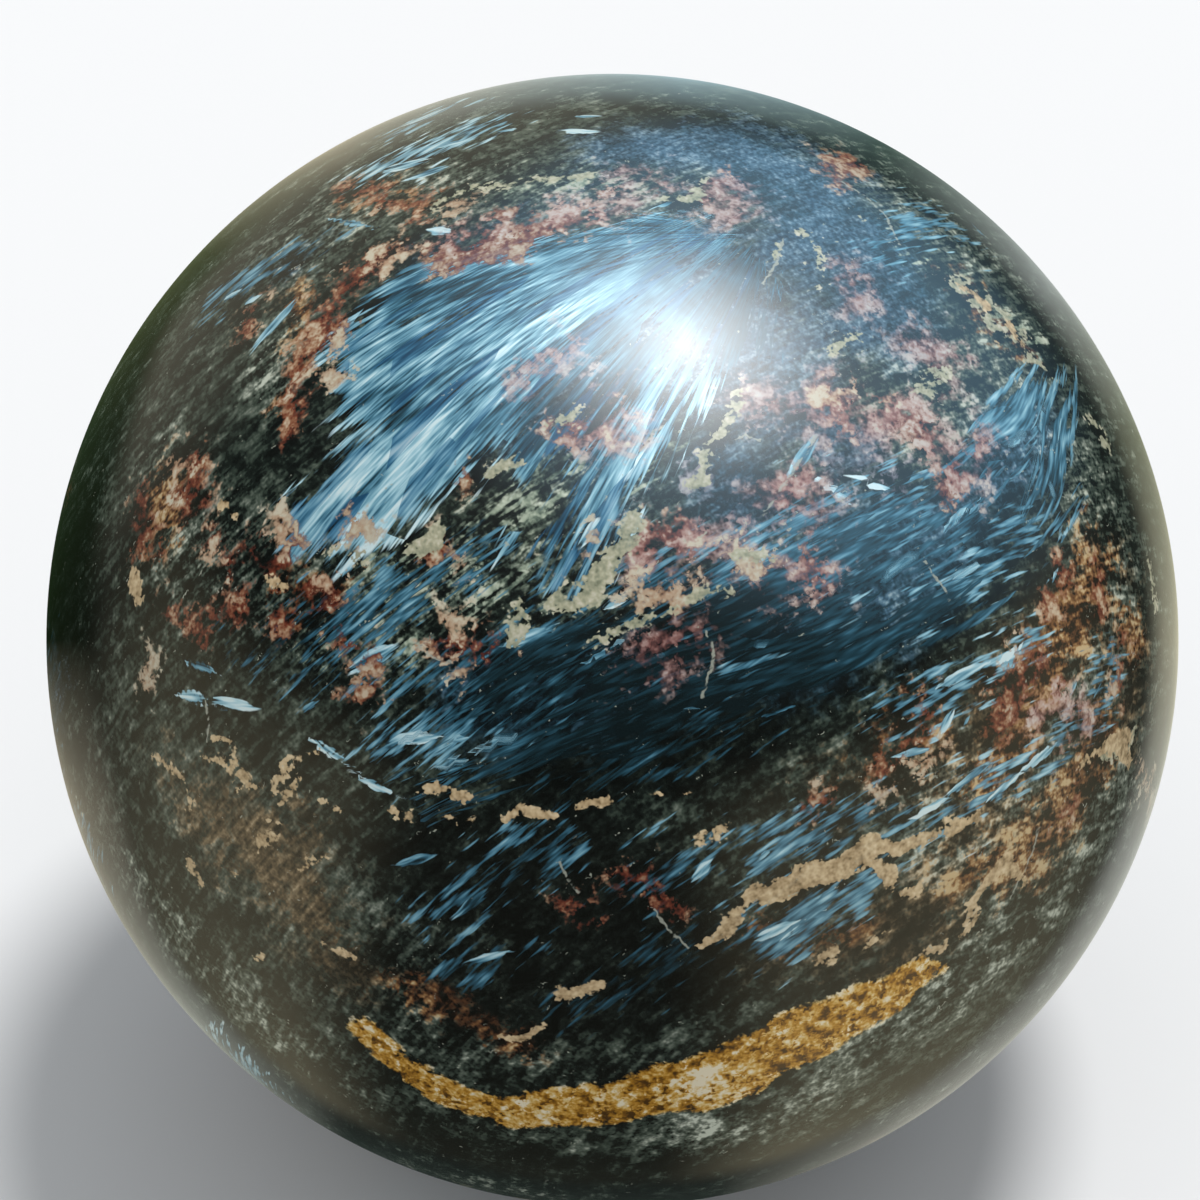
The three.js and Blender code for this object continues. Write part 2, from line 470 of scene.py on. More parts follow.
# %% The minerals that the photograph shows: chains of (x, y in pixels, radius in mm)
FRONT_MINERALS = {
    "red": (
        # The arc round the end of the great fan.
        ((404, 250, 0.9), (366, 270, 1.5), (340, 292, 2.0), (326, 322, 2.2), (316, 348, 2.1)),
        ((304, 352, 1.6), (298, 398, 1.8), (286, 436, 1.0)),
        ((258, 302, 0.8), (248, 320, 1.1), (238, 340, 0.8)),
        ((342, 190, 0.9), (372, 190, 1.1), (402, 204, 1.2), (428, 192, 1.2)),
        # The speckled places left of it.
        ((188, 454, 1.4), (190, 478, 1.8), (198, 504, 1.3)),
        ((140, 500, 1.2), (138, 528, 1.4), (156, 548, 1.0)),
        ((252, 552, 1.2), (270, 562, 2.0), (290, 544, 1.4)), ((300, 600, 0.8), (330, 592, 1.2)),
        ((240, 600, 0.6), (210, 616, 0.5)), ((284, 618, 0.8),), ((132, 560, 0.5),),
        ((350, 700, 0.6), (372, 690, 0.8)), ((212, 540, 1.0), (228, 556, 1.0)),
        ((170, 612, 0.6), (204, 632, 0.6)), ((350, 527, 1.0),), ((438, 556, 0.8),), ((468, 472, 0.8),),
        ((344, 640, 0.9), (376, 660, 1.0)), ((446, 642, 1.4), (478, 652, 1.4)),
        # The dark red in the pink band, and the mottled oval in the middle.
        ((440, 254, 1.9), (474, 246, 2.7), (512, 236, 2.6), (548, 226, 2.1), (592, 212, 1.3)),
        ((700, 200, 0.6),), ((738, 174, 0.7),), ((606, 196, 0.6),), ((500, 210, 0.6),),
        ((420, 216, 0.7),), ((566, 430, 1.0), (590, 424, 0.8)),
        ((644, 550, 1.2), (668, 534, 1.4), (690, 552, 1.0)), ((742, 567, 0.4),), ((756, 566, 0.4),),
        ((806, 552, 0.9), (816, 580, 0.9)), ((898, 420, 1.6), (922, 430, 1.9)),
        ((958, 470, 1.6), (948, 486, 1.1)), ((834, 400, 1.3), (850, 416, 1.1)), ((884, 400, 0.8),),
        ((976, 444, 0.8),), ((806, 480, 0.7), (786, 500, 0.8)),
        # The right side and the top edge.
        ((1000, 734, 1.4), (1018, 690, 1.9), (1040, 660, 1.4)), ((1060, 680, 0.9),),
        ((1064, 574, 1.4), (1050, 610, 1.0)), ((1096, 560, 0.8), (1100, 610, 1.0)),
        ((1124, 640, 0.8), (1120, 690, 1.0)), ((1080, 800, 0.9), (1050, 830, 0.9)),
        ((846, 158, 1.4), (834, 178, 0.9)), ((800, 816, 0.8), (830, 800, 0.8)),
        ((680, 908, 0.5), (660, 892, 0.5)), ((880, 770, 1.0), (910, 740, 1.1), (930, 706, 0.8)),
        ((570, 902, 0.5), (586, 916, 0.6)), ((620, 880, 0.6), (650, 876, 0.5)),
    ),
    "pink": (
        ((452, 236, 0.6), (486, 228, 0.5)), ((560, 214, 0.7), (618, 206, 0.8)),
        ((700, 196, 0.8), (724, 190, 1.1), (746, 198, 0.9), (728, 216, 0.9)),
        ((630, 172, 0.6), (660, 178, 0.7)), ((584, 428, 1.0), (628, 420, 1.2), (612, 404, 0.9)),
        ((520, 380, 0.8), (544, 362, 1.0), (566, 346, 0.7)),
        ((640, 560, 1.2), (676, 560, 1.2), (712, 552, 1.2), (760, 560, 1.2), (816, 574, 0.9)),
        ((776, 506, 1.0), (800, 490, 1.5), (812, 516, 0.8)),
        ((848, 404, 1.3), (880, 420, 1.5), (910, 410, 1.5)), ((944, 440, 1.7),), ((826, 380, 1.0),),
        ((916, 344, 1.2), (956, 352, 1.0)), ((984, 440, 1.2), (960, 470, 1.1)), ((940, 376, 1.2),),
        ((744, 402, 0.6), (784, 406, 0.9), (822, 412, 1.1)), ((852, 276, 0.7), (858, 300, 0.6)),
        ((650, 660, 0.5), (690, 640, 0.5)), ((1040, 700, 1.0), (1080, 720, 1.0)),
    ),
    "peach": (
        ((404, 250, 0.6), (388, 262, 0.9)), ((338, 342, 0.6),), ((302, 388, 1.0), (330, 380, 1.1)),
        ((214, 554, 1.2),), ((281, 534, 1.4),), ((346, 514, 1.2), (368, 528, 1.1)),
        ((452, 210, 0.9), (468, 200, 0.9)), ((176, 466, 1.3),), ((450, 620, 1.2),), ((466, 668, 0.8),),
        ((326, 586, 0.7),), ((150, 660, 0.8), (146, 690, 0.9)), ((740, 560, 1.2), (770, 560, 1.0)),
        ((448, 618, 0.8),), ((640, 598, 0.8), (668, 594, 0.9)), ((826, 398, 0.6), (856, 392, 0.4)),
        ((888, 400, 0.4),), ((608, 412, 0.8), (636, 402, 0.7)),
        ((868, 800, 0.7), (910, 770, 0.8), (950, 752, 0.6)), ((1140, 770, 0.9), (1150, 820, 0.9)),
        ((350, 560, 0.6), (336, 566, 0.6)), ((560, 556, 0.6), (590, 540, 0.6)),
        ((700, 566, 0.7), (690, 580, 0.6)),
    ),
    "cream": (
        ((640, 512, 0.4), (628, 530, 0.8), (612, 556, 1.0), (584, 590, 1.0), (560, 604, 0.5)),
        ((530, 608, 0.3), (518, 624, 0.6), (508, 640, 0.4)),
        ((478, 480, 0.2), (498, 468, 0.5), (520, 456, 0.5)),
        ((738, 392, 0.3), (728, 424, 0.6), (714, 452, 0.5), (700, 480, 0.5)),
        ((556, 424, 0.4), (576, 412, 0.6)), ((730, 560, 0.2), (752, 554, 0.3), (774, 560, 0.2)),
        ((920, 384, 0.5), (944, 378, 0.7)), ((418, 546, 0.8), (438, 542, 0.9)),
        ((328, 560, 0.3), (358, 566, 0.4)),
        ((432, 206, 0.3), (476, 190, 0.4), (530, 182, 0.5), (594, 174, 0.4)),
        ((668, 192, 0.5), (690, 196, 0.7), (704, 184, 0.5)),
        ((590, 644, 0.4), (620, 628, 0.5), (660, 616, 0.4)), ((690, 604, 0.3), (724, 590, 0.3)),
        ((1090, 420, 0.4), (1110, 450, 0.5)), ((944, 270, 0.4),), ((956, 288, 0.5), (966, 280, 0.4)),
        ((972, 302, 0.6), (986, 296, 0.4)), ((1000, 308, 0.4),), ((990, 320, 0.6), (1004, 332, 0.5)),
        ((1018, 342, 0.5), (1026, 330, 0.3)), ((1030, 356, 0.4), (1044, 368, 0.3)),
        ((812, 240, -0.2), (818, 264, 0.1), (812, 290, -0.1)), ((838, 344, 0.5),),
        ((780, 234, -0.1), (776, 256, 0.1), (770, 272, -0.1)), ((828, 240, -0.1), (826, 272, 0.0)),
        ((862, 216, 0.3),), ((808, 236, 0.0),), ((838, 340, 0.4), (854, 336, 0.3)), ((918, 386, 0.4),),
        ((946, 374, 0.4),), ((1150, 560, 0.4), (1156, 620, 0.4)), ((1100, 760, 0.6), (1130, 740, 0.6)),
    ),
    "gold": (
        # Tan veins and flecks low on the right.
        ((752, 896, 0.6), (784, 886, 1.0), (826, 872, 1.2), (872, 852, 1.0), (930, 834, 0.7),
         (982, 816, 0.5)),
        ((704, 952, 0.4), (730, 930, 0.9), (744, 914, 0.5)),
        ((866, 868, 0.4), (886, 872, 0.8), (892, 888, 0.5)), ((902, 898, 0.6), (916, 890, 0.5)),
        ((966, 912, 0.4), (984, 888, 0.6), (1000, 862, 0.8), (1020, 870, 0.5)),
        ((970, 924, 0.5), (980, 908, 0.5)), ((860, 950, 0.3), (888, 936, 0.3)),
        ((810, 962, 0.4), (832, 954, 0.6)), ((914, 960, 0.3), (952, 938, 0.5)),
        ((1086, 764, 0.6), (1118, 742, 1.0), (1132, 762, 0.8)), ((1010, 868, 0.7), (1030, 880, 0.5)),
        ((414, 791, 0.3), (438, 793, 0.5), (462, 798, 0.3)), ((438, 820, 0.2), (464, 822, 0.4)),
        ((494, 822, 0.2), (528, 812, 0.7), (554, 818, 0.3)),
        ((572, 806, 0.2), (592, 800, 0.6), (610, 807, 0.3)), ((655, 796, 0.2), (697, 799, 0.3)),
        ((394, 812, 0.3), (410, 818, 0.3)), ((704, 836, 0.2), (730, 832, 0.3)),
        ((560, 994, 0.5), (586, 990, 0.5), (600, 984, 0.4)),
        ((500, 1036, 0.2), (524, 1030, 0.5), (550, 1022, 0.3)), ((966, 286, 0.5), (984, 306, 0.6)),
        ((1008, 320, 0.5), (1024, 344, 0.5)), ((996, 338, 0.4),),
        # Gold flecks on the left.
        ((214, 742, 0.4), (232, 750, 0.4)), ((236, 764, 0.4), (252, 780, 0.4)),
        ((268, 782, 0.4), (290, 770, 0.4)), ((300, 766, 0.4), (324, 760, 0.4)),
        ((162, 766, 0.3), (184, 778, 0.5)), ((186, 856, 0.5), (196, 882, 0.4)),
        ((200, 756, 0.2), (222, 768, 0.4), (238, 792, 0.3)), ((280, 794, 0.3), (300, 780, 0.3)),
        ((334, 774, 0.3),), ((196, 792, 0.4), (192, 812, 0.3)), ((150, 744, 0.2), (164, 764, 0.3)),
        ((256, 820, 0.2), (280, 826, 0.2)), ((312, 800, 0.2), (336, 806, 0.3)),
        ((220, 868, 0.2), (240, 876, 0.3)), ((304, 870, 0.3), (324, 860, 0.2)),
        ((280, 838, 0.3), (260, 850, 0.3)), ((330, 946, 0.4), (356, 960, 0.4)),
        ((254, 958, 0.4), (268, 962, 0.3)), ((222, 506, 0.6), (236, 516, 0.4)),
        ((266, 576, 0.5), (282, 586, 0.4)), ((134, 572, 0.5), (142, 600, 0.9)),
    ),
    # A painted reflection, laid in as bronze blades gathered low on the front: the gold band stands for a
    # mirrored gold object.
    "bronze_and_reflection": (
        ((360, 1026, 0.9), (400, 1066, 1.6), (470, 1102, 1.9), (560, 1110, 2.4), (650, 1094, 3.3),
         (740, 1068, 3.5), (830, 1024, 3.1), (900, 988, 2.4), (938, 966, 1.0)),
    ),
    "olive": (
        ((330, 640, 1.8), (372, 598, 2.2), (412, 566, 1.8)),
        ((420, 600, 1.6), (470, 560, 1.8), (520, 500, 2.0)), ((520, 492, 1.4), (560, 468, 1.2)),
        ((400, 650, 1.4), (470, 610, 1.6), (540, 570, 1.2)),
        ((520, 620, 1.2), (580, 610, 1.0), (660, 612, 0.9)),
        ((500, 184, 1.0), (560, 182, 1.2), (620, 186, 1.0)), ((640, 470, 1.2), (660, 440, 1.0)),
        ((910, 250, 0.8), (980, 300, 1.0), (1040, 350, 1.0)),
    ),
    "navy_and_glare": (
        # Partly painted: the blue veil at the upper right and right of the glint stands for glare and
        # mirrored sky.
        ((620, 150, 3), (700, 140, 5), (760, 160, 6), (840, 240, 7), (900, 320, 6)),
        ((740, 470, 5), (720, 520, 4)), ((286, 270, 2.2), (300, 256, 1.6)),
        ((900, 560, 6), (980, 480, 5), (1040, 420, 4)), ((740, 360, 5), (800, 400, 5)),
        ((480, 700, 5), (620, 680, 6), (780, 640, 6), (860, 600, 6)), ((560, 430, 4), (600, 500, 4)),
    ),
    "brown_and_reflection": (
        # Partly painted reflection: brown low on the left and right stands for mirrored brown surroundings.
        ((200, 800, 5), (280, 860, 6), (330, 960, 4)),
        ((760, 930, 3), (850, 940, 4), (930, 900, 5), (1010, 830, 4)),
        ((840, 790, 3), (940, 760, 4), (1000, 720, 4), (1060, 640, 4), (1110, 560, 3)),
        ((1140, 600, 3), (1130, 720, 3)),
    ),
    "grain": (
        ((170, 480, 4), (200, 560, 5), (300, 600, 4), (420, 620, 4)), ((680, 540, 4), (800, 510, 4)),
        ((850, 380, 5), (940, 400, 6), (1000, 360, 4)), ((1060, 700, 5), (1110, 600, 5), (1080, 480, 4)),
        ((1000, 860, 5), (940, 790, 5), (1060, 800, 5)),
        ((300, 240, 5), (400, 190, 4), (520, 190, 4), (700, 190, 4)), ((860, 170, 4), (960, 240, 4)),
        ((280, 360, 4), (260, 420, 2)), ((520, 560, 3), (600, 600, 3)), ((430, 1000, 2), (520, 1040, 2)),
        ((860, 1050, 3), (960, 980, 4), (1060, 880, 4), (1120, 780, 3)), ((700, 1130, 3), (800, 1110, 4)),
        ((140, 880, 3), (220, 980, 3), (320, 1070, 2)),
    ),
    "calm": (
        ((170, 760, 3), (230, 830, 5), (310, 890, 4), (350, 960, 3)), ((240, 450, 3.5), (220, 400, 2.5)),
        ((420, 860, 4), (560, 860, 6), (640, 960, 7), (480, 1000, 4)),
        ((560, 780, 4), (700, 740, 4), (820, 690, 3)), ((70, 560, 4), (66, 660, 4)),
        ((440, 760, 3), (640, 700, 3)), ((760, 470, 1.6), (740, 500, 2.0)), ((300, 1010, 2),),
        ((800, 270, 2.4),),
    ),
    "haze_and_glare": (
        # Partly painted glare and sky reflection: the milky veil round the glint and at the upper right.
        ((560, 270, 3), (620, 280, 4), (660, 270, 4)),
        ((600, 150, 3), (680, 150, 6), (760, 160, 5), (830, 210, 5), (850, 290, 4)),
        ((500, 430, 2), (540, 400, 2), (600, 360, 3)), ((690, 320, 10),),
        ((440, 246, 2), (520, 226, 2.4), (600, 206, 2)), ((760, 330, 6), (820, 340, 5), (880, 310, 4)),
        ((720, 400, 3.4),), ((780, 250, 5), (860, 270, 4)), ((620, 250, 3), (720, 230, 3)),
        ((740, 120, 3), (860, 180, 3)), ((760, 420, 4), (840, 440, 4)),
        ((730, 510, 2), (800, 530, 3), (880, 500, 2)),
    ),
    "lit": (
        # Partly painted light: a painted highlight in the gold band, brighter low edges that stand for
        # mirrored light, and brighter fan fibres, a painted sheen; the rest is the rock's own brighter tone.
        ((330, 296, 2.0), (312, 350, 2.0), (300, 400, 1.6)), ((700, 1078, 2.2),),
        ((170, 770, 4), (240, 830, 6), (320, 910, 5)), ((350, 356, 1.0), (380, 336, 1.0)),
        ((400, 460, 1.2), (440, 436, 1.2)), ((420, 390, 1.2), (520, 330, 1.6), (620, 290, 1.6)),
        ((412, 740, 0.9), (440, 732, 0.6)), ((930, 575, 1.2), (960, 560, 1.0)),
        ((1000, 655, 1.0), (1016, 640, 1.0)), ((830, 905, 2.0), (930, 870, 2.4), (1000, 830, 2.0)),
        ((700, 560, 1.0), (780, 550, 1.2)), ((900, 440, 1.4), (960, 420, 1.2)),
        ((440, 256, 1.6), (512, 236, 2.2), (600, 208, 1.8)),
    ),
    "dim": (
        # Partly painted shade: the low middle, the left edge and the lower rim are darkened for mirrored dark
        # surroundings and shadow; the other places are the rock's own darker tone.
        ((400, 300, 1.6), (460, 296, 2.0), (520, 280, 1.4)), ((470, 400, 1.0), (400, 420, 0.8)),
        ((496, 426, 1.4), (540, 404, 1.4)), ((500, 690, 3.5), (620, 660, 4), (760, 620, 3)),
        ((420, 860, 4), (540, 880, 7), (640, 960, 8), (480, 1000, 5)), ((140, 520, 2.4), (160, 470, 2.4)),
        ((270, 560, 1.2), (320, 596, 1.6)), ((560, 780, 4), (700, 740, 4), (820, 690, 2)),
        ((240, 640, 1.6), (280, 640, 1.4)), ((84, 480, 4), (80, 580, 6), (84, 680, 4)),
        ((170, 600, 4), (240, 620, 4), (330, 614, 3)), ((760, 480, 1.6), (738, 506, 1.8)),
        ((900, 690, 1.6), (960, 620, 1.6)), ((980, 540, 1.4), (1050, 480, 1.4)),
        ((60, 560, 5), (62, 660, 5)),
        # Painted shade: the dark band along the lower rim.
        ((300, 1070, 3), (343, 1106, 4), (430, 1150, 5), (519, 1169, 5), (612, 1178, 5), (705, 1169, 5),
         (796, 1145, 3)),
    ),
    "rust": (
        ((300, 300, 2), (310, 360, 2), (290, 410, 2)), ((350, 190, 1.6), (420, 200, 1.6)),
        ((180, 480, 3), (150, 530, 3)), ((1000, 760, 3), (1030, 690, 4), (1070, 620, 4), (1100, 560, 3)),
        ((960, 880, 2), (1040, 840, 4), (1100, 740, 4)), ((880, 760, 2.4), (940, 730, 2.4)),
        ((1130, 640, 3),), ((940, 270, 1.6), (990, 314, 2.4), (1036, 356, 1.6)), ((840, 160, 2),),
        ((760, 930, 2), (860, 930, 2)), ((420, 990, 2.4), (520, 1040, 2.4)), ((280, 570, 2),),
        ((300, 600, 1.6), (340, 590, 2)), ((880, 740, 2), (930, 710, 2)),
    ),
    "lilac": (
        ((560, 436, 1.2), (590, 420, 1.0)), ((744, 540, 1.6), (778, 520, 1.6)),
        ((548, 362, 1.0), (600, 400, 1.0)), ((640, 540, 1.4), (690, 540, 1.4)),
        ((520, 224, 0.8), (584, 216, 0.8)), ((830, 450, 1.6), (900, 480, 1.4)),
        ((800, 400, 1.0), (870, 440, 1.2)), ((700, 470, 1.0), (716, 500, 1.0)),
    ),
}
for mineral, chains in FRONT_MINERALS.items():
    for chain in chains:
        lay_patch(mineral, [(*at_pixel(x, y), radius) for x, y, radius in chain])
print("mineral corners:", {name: int((mineral_depth[i] > 0).sum()) for i, name in enumerate(MINERALS)})

# %% [markdown]
# ## Fields of fibres
#
# Where fibres lie thickest, no single spray can be told from the next. There the whole place is one
# field. The great fan is a field whose fibres all spread from one root, like the sticks of a hand
# fan, and elsewhere they keep to the rock's grain. A corner stores how deep inside a field it lies
# and how bright the fibres are there. The material works out their direction by itself.

# %% Lay a field of fibres
FIELDS = ("fan", "streaks")
ROOT_PX = (793, 190)
ALMOST_NO_WEIGHT = 1e-6
field_depth = np.full((len(FIELDS), corner_count), FAR_OUTSIDE_MM, float)
field_tone = np.zeros((len(FIELDS), corner_count))
field_weight = np.full((len(FIELDS), corner_count), ALMOST_NO_WEIGHT)


def lay_field(name, chain):
    """Adds rows of (direction x, y, z, radius in mm, brightness) to a field of fibres."""
    rows, near, turned_mm = near_chain(chain)
    field = FIELDS.index(name)
    depth = (rows[:, 3] - turned_mm).max(axis=1)
    field_depth[field, near] = np.maximum(field_depth[field, near], depth)
    pull = np.exp(-((turned_mm / rows[:, 3]) ** 2))
    field_tone[field, near] += (pull * rows[:, 4]).sum(axis=1)
    field_weight[field, near] += pull.sum(axis=1)


# %% The fields that the photograph shows: chains of (x, y in pixels, radius in mm, brightness)
FRONT_FIELDS = {
    "fan": (
        # The great fan itself: its top, its middle and its bright lower side.
        ((660, 240, 2.4, 0.5), (560, 260, 2.6, 0.52), (480, 280, 2.8, 0.52), (404, 302, 3.0, 0.44)),
        ((660, 275, 3.0, 0.54), (560, 305, 4.0, 0.6), (480, 345, 4.6, 0.62), (405, 385, 5.0, 0.64),
         (370, 350, 3.4, 0.58)),
        ((660, 292, 2.4, 0.56), (580, 336, 2.8, 0.58), (500, 390, 3.4, 0.66), (430, 440, 4.0, 0.76),
         (370, 484, 4.2, 0.88), (312, 524, 3.2, 0.8)),
        # Pale fibres round its root.
        ((684, 306, 3.8, 0.5),), ((684, 350, 2.0, 0.5),), ((732, 330, 2.2, 0.2), (742, 276, 2.2, 0.22)),
        ((690, 240, 2.4, 0.42),), ((640, 360, 2.6, 0.36), (580, 400, 2.2, 0.16), (530, 446, 1.6, 0.12)),
        # The narrow spray that drops from the same root.
        ((690, 350, 1.6, 0.8), (656, 416, 1.7, 0.8), (626, 470, 1.6, 0.7), (596, 524, 1.6, 0.74),
         (562, 580, 1.2, 0.6)),
        ((620, 440, 1.2, 0.5), (580, 490, 1.8, 0.46), (540, 550, 1.6, 0.4)),
    ),
    "streaks": (
        ((372, 172, 1.2, 0.66), (430, 150, 2.2, 0.72), (500, 122, 1.2, 0.56)),
        ((400, 132, 0.8, 0.5), (450, 108, 1.2, 0.5)),
        ((216, 302, 1.0, 0.3), (262, 276, 1.6, 0.34), (316, 246, 1.0, 0.28)),
        ((880, 250, 1.0, 0.36), (930, 218, 1.6, 0.46), (966, 236, 0.8, 0.4)),
        ((236, 650, 0.8, 0.26), (320, 630, 1.6, 0.3), (400, 600, 2.2, 0.34), (480, 550, 1.8, 0.34)),
        ((380, 752, 1.0, 0.44), (440, 722, 1.8, 0.42), (540, 690, 1.6, 0.3), (640, 650, 1.4, 0.26)),
        ((640, 668, 0.8, 0.32), (700, 640, 1.6, 0.38), (770, 612, 1.2, 0.36)),
        ((404, 696, 1.0, 0.26), (500, 652, 2.0, 0.26), (600, 616, 2.4, 0.3), (700, 586, 2.8, 0.34),
         (800, 552, 2.8, 0.36), (900, 505, 2.4, 0.38)),
        ((700, 694, 0.8, 0.38), (760, 668, 2.0, 0.48), (830, 640, 1.2, 0.4)),
        ((430, 920, 0.8, 0.36), (492, 882, 1.6, 0.44), (566, 838, 0.8, 0.36)),
        ((620, 900, 0.6, 0.3), (680, 866, 1.2, 0.4), (770, 836, 0.6, 0.36)),
        ((748, 948, 1.2, 0.36), (806, 914, 2.6, 0.4), (872, 880, 1.6, 0.38)),
        ((756, 868, 0.8, 0.34), (830, 832, 1.6, 0.4), (894, 804, 1.0, 0.36)),
        ((930, 826, 0.8, 0.46), (984, 794, 1.6, 0.56), (1062, 742, 1.0, 0.5)),
        ((560, 1010, 0.8, 0.2), (650, 968, 1.6, 0.2), (740, 930, 0.8, 0.2)),
        ((450, 972, 0.6, 0.3), (520, 950, 0.8, 0.3)),
        ((1060, 760, 0.8, 0.3), (1100, 700, 1.2, 0.4), (1112, 640, 0.8, 0.36)),
        ((930, 604, 1.0, 0.42), (968, 576, 1.8, 0.52), (1030, 530, 1.2, 0.4)),
        ((884, 722, 0.8, 0.4), (950, 690, 1.2, 0.5), (1004, 660, 1.4, 0.6), (1034, 632, 0.8, 0.46)),
        ((300, 680, 0.8, 0.3), (360, 660, 1.2, 0.34)),
        ((560, 780, 1.0, 0.22), (660, 746, 1.4, 0.2), (760, 716, 1.0, 0.24)),
    ),
}
for field, chains in FRONT_FIELDS.items():
    for chain in chains:
        lay_field(field, [(*at_pixel(x, y), radius, tone) for x, y, radius, tone in chain])
print("field corners:", {name: int((field_depth[i] > 0).sum()) for i, name in enumerate(FIELDS)})

# %% [markdown]
# ## The side that the photograph hides
#
# The rock goes on round the back in the same way, so the same helpers dress it, at places drawn by
# a random generator with a fixed seed. The sprays and streaks keep to the rock's own grain: they
# run round one axis, give or take, as those on the front do. Round the ends of that axis they would
# turn into a whirl, so none are laid there, and a few fans from the great fan's root lie among them.

# %% How much of each thing the hidden side gets
GRAIN_AXIS = unit(camera_right * -0.55 + camera_up * 0.8 + camera_back * -0.25)
HIDDEN_SEED = 11
HIDDEN_SPRAYS = 36
HIDDEN_STREAKS = 84
HIDDEN_FANS = 14
HIDDEN_HAIRLINES = 14
# For each mineral: how many chains, and their radius in millimetres.
HIDDEN_PATCHES = {
    "red": (52, 1.4), "pink": (34, 1.3), "peach": (34, 0.9), "cream": (42, 0.8), "gold": (34, 0.7),
    "bronze_and_reflection": (4, 1.2), "olive": (34, 1.7), "navy_and_glare": (12, 4), "brown_and_reflection": (9, 4), "grain": (26, 4),
    "calm": (10, 3.5), "haze_and_glare": (12, 3), "lit": (18, 1.6), "dim": (20, 3), "rust": (28, 2.2),
    "lilac": (12, 1.3),
}
LONG_PATH_STEPS = 4
SHORT_PATH_STEPS = 3
LONGEST_SPRAY_MM = 34
# A power of a spray's size, which makes more of them small.
MORE_SMALL_SPRAYS = 1.5
# The share of its brightness that a spray would have where its width comes to nothing.
TONE_AT_NO_WIDTH = 0.7
# Each pair below holds the least and the most that the generator may draw.
SPRAY_SIZES = (0.35, 1)
SPRAY_HALF_WIDTHS_MM = (1.2, 4.0)
SPRAY_TONES = (0.25, 0.85)
STREAK_LENGTHS_MM = (6, 26)
STREAK_RADII_MM = (1, 3.4)
STREAK_TONES = (0.2, 0.68)
FAN_LENGTHS_MM = (10, 30)
FAN_SIZES = (0.45, 1.0)
FAN_TONES = (0.2, 0.55)
PATCH_LENGTHS_IN_RADII = (2, 8)
PATCH_SIZES = (0.4, 1.1)
HAIRLINE_TURNS = (-1.5, 1.5)
HAIRLINE_LENGTHS_MM = (4, 12)
# How far things stray from the grain as they start, and how much they bend, in radians. These are
# spreads: about two draws in three come out smaller.
SPRAY_STRAYS = 0.35
SPRAY_BENDS = 0.4
STREAK_STRAYS = 0.25
PATCH_STRAYS = 0.6
HAIRLINE_BENDS = 0.8
# Every streak bends by the same angle, and so does every patch.
STREAK_BEND = 0.2
PATCH_BEND = 0.5
# A spray's and a fan's width from end to end, as shares of the widest place or in millimetres.
SPRAY_WIDTHS = (0.35, 0.8, 1.0, 0.85, 0.3)
FAN_WIDTHS_MM = (1.2, 2.6, 4.2, 5.4, 3.6)
# Beyond this much along the grain axis, nothing keeps to the grain.
WHIRL_STARTS = 0.8
# How far, toward the camera, hidden things may start and reach.
EDGE_OF_VIEW = 0.1
REACH_INTO_VIEW = 2 * EDGE_OF_VIEW

random = np.random.default_rng(HIDDEN_SEED)


# %% Paths over the hidden side
def hidden_direction():
    """A random direction on the side that the camera doesn't see."""
    while True:
        direction = unit(random.normal(size=3))
        if direction @ camera_back < EDGE_OF_VIEW:
            return direction


def walk(start, turn, length_mm, steps, bend):
    """Directions along a path that leaves start at an angle to the grain, and bends as it goes."""
    path = [start]
    for _ in range(steps):
        with_grain = unit(np.cross(GRAIN_AXIS, path[-1]))
        beside = np.cross(path[-1], with_grain)
        heading = with_grain * math.cos(turn) + beside * math.sin(turn)
        path.append(unit(path[-1] + heading * (length_mm / steps / RADIUS_MM)))
        turn += bend / steps
    return path


def walk_from_root(start, length_mm, steps):
    """Directions along a path that leads straight away from the great fan's root."""
    root = at_pixel(*ROOT_PX)
    path = [start]
    for _ in range(steps):
        outward = unit(path[-1] * (path[-1] @ root) - root)
        path.append(unit(path[-1] + outward * (length_mm / steps / RADIUS_MM)))
    return path


def most_along(path, direction):
    return max(place @ direction for place in path)


def in_whirl(path):
    return max(most_along(path, GRAIN_AXIS), most_along(path, -GRAIN_AXIS)) >= WHIRL_STARTS


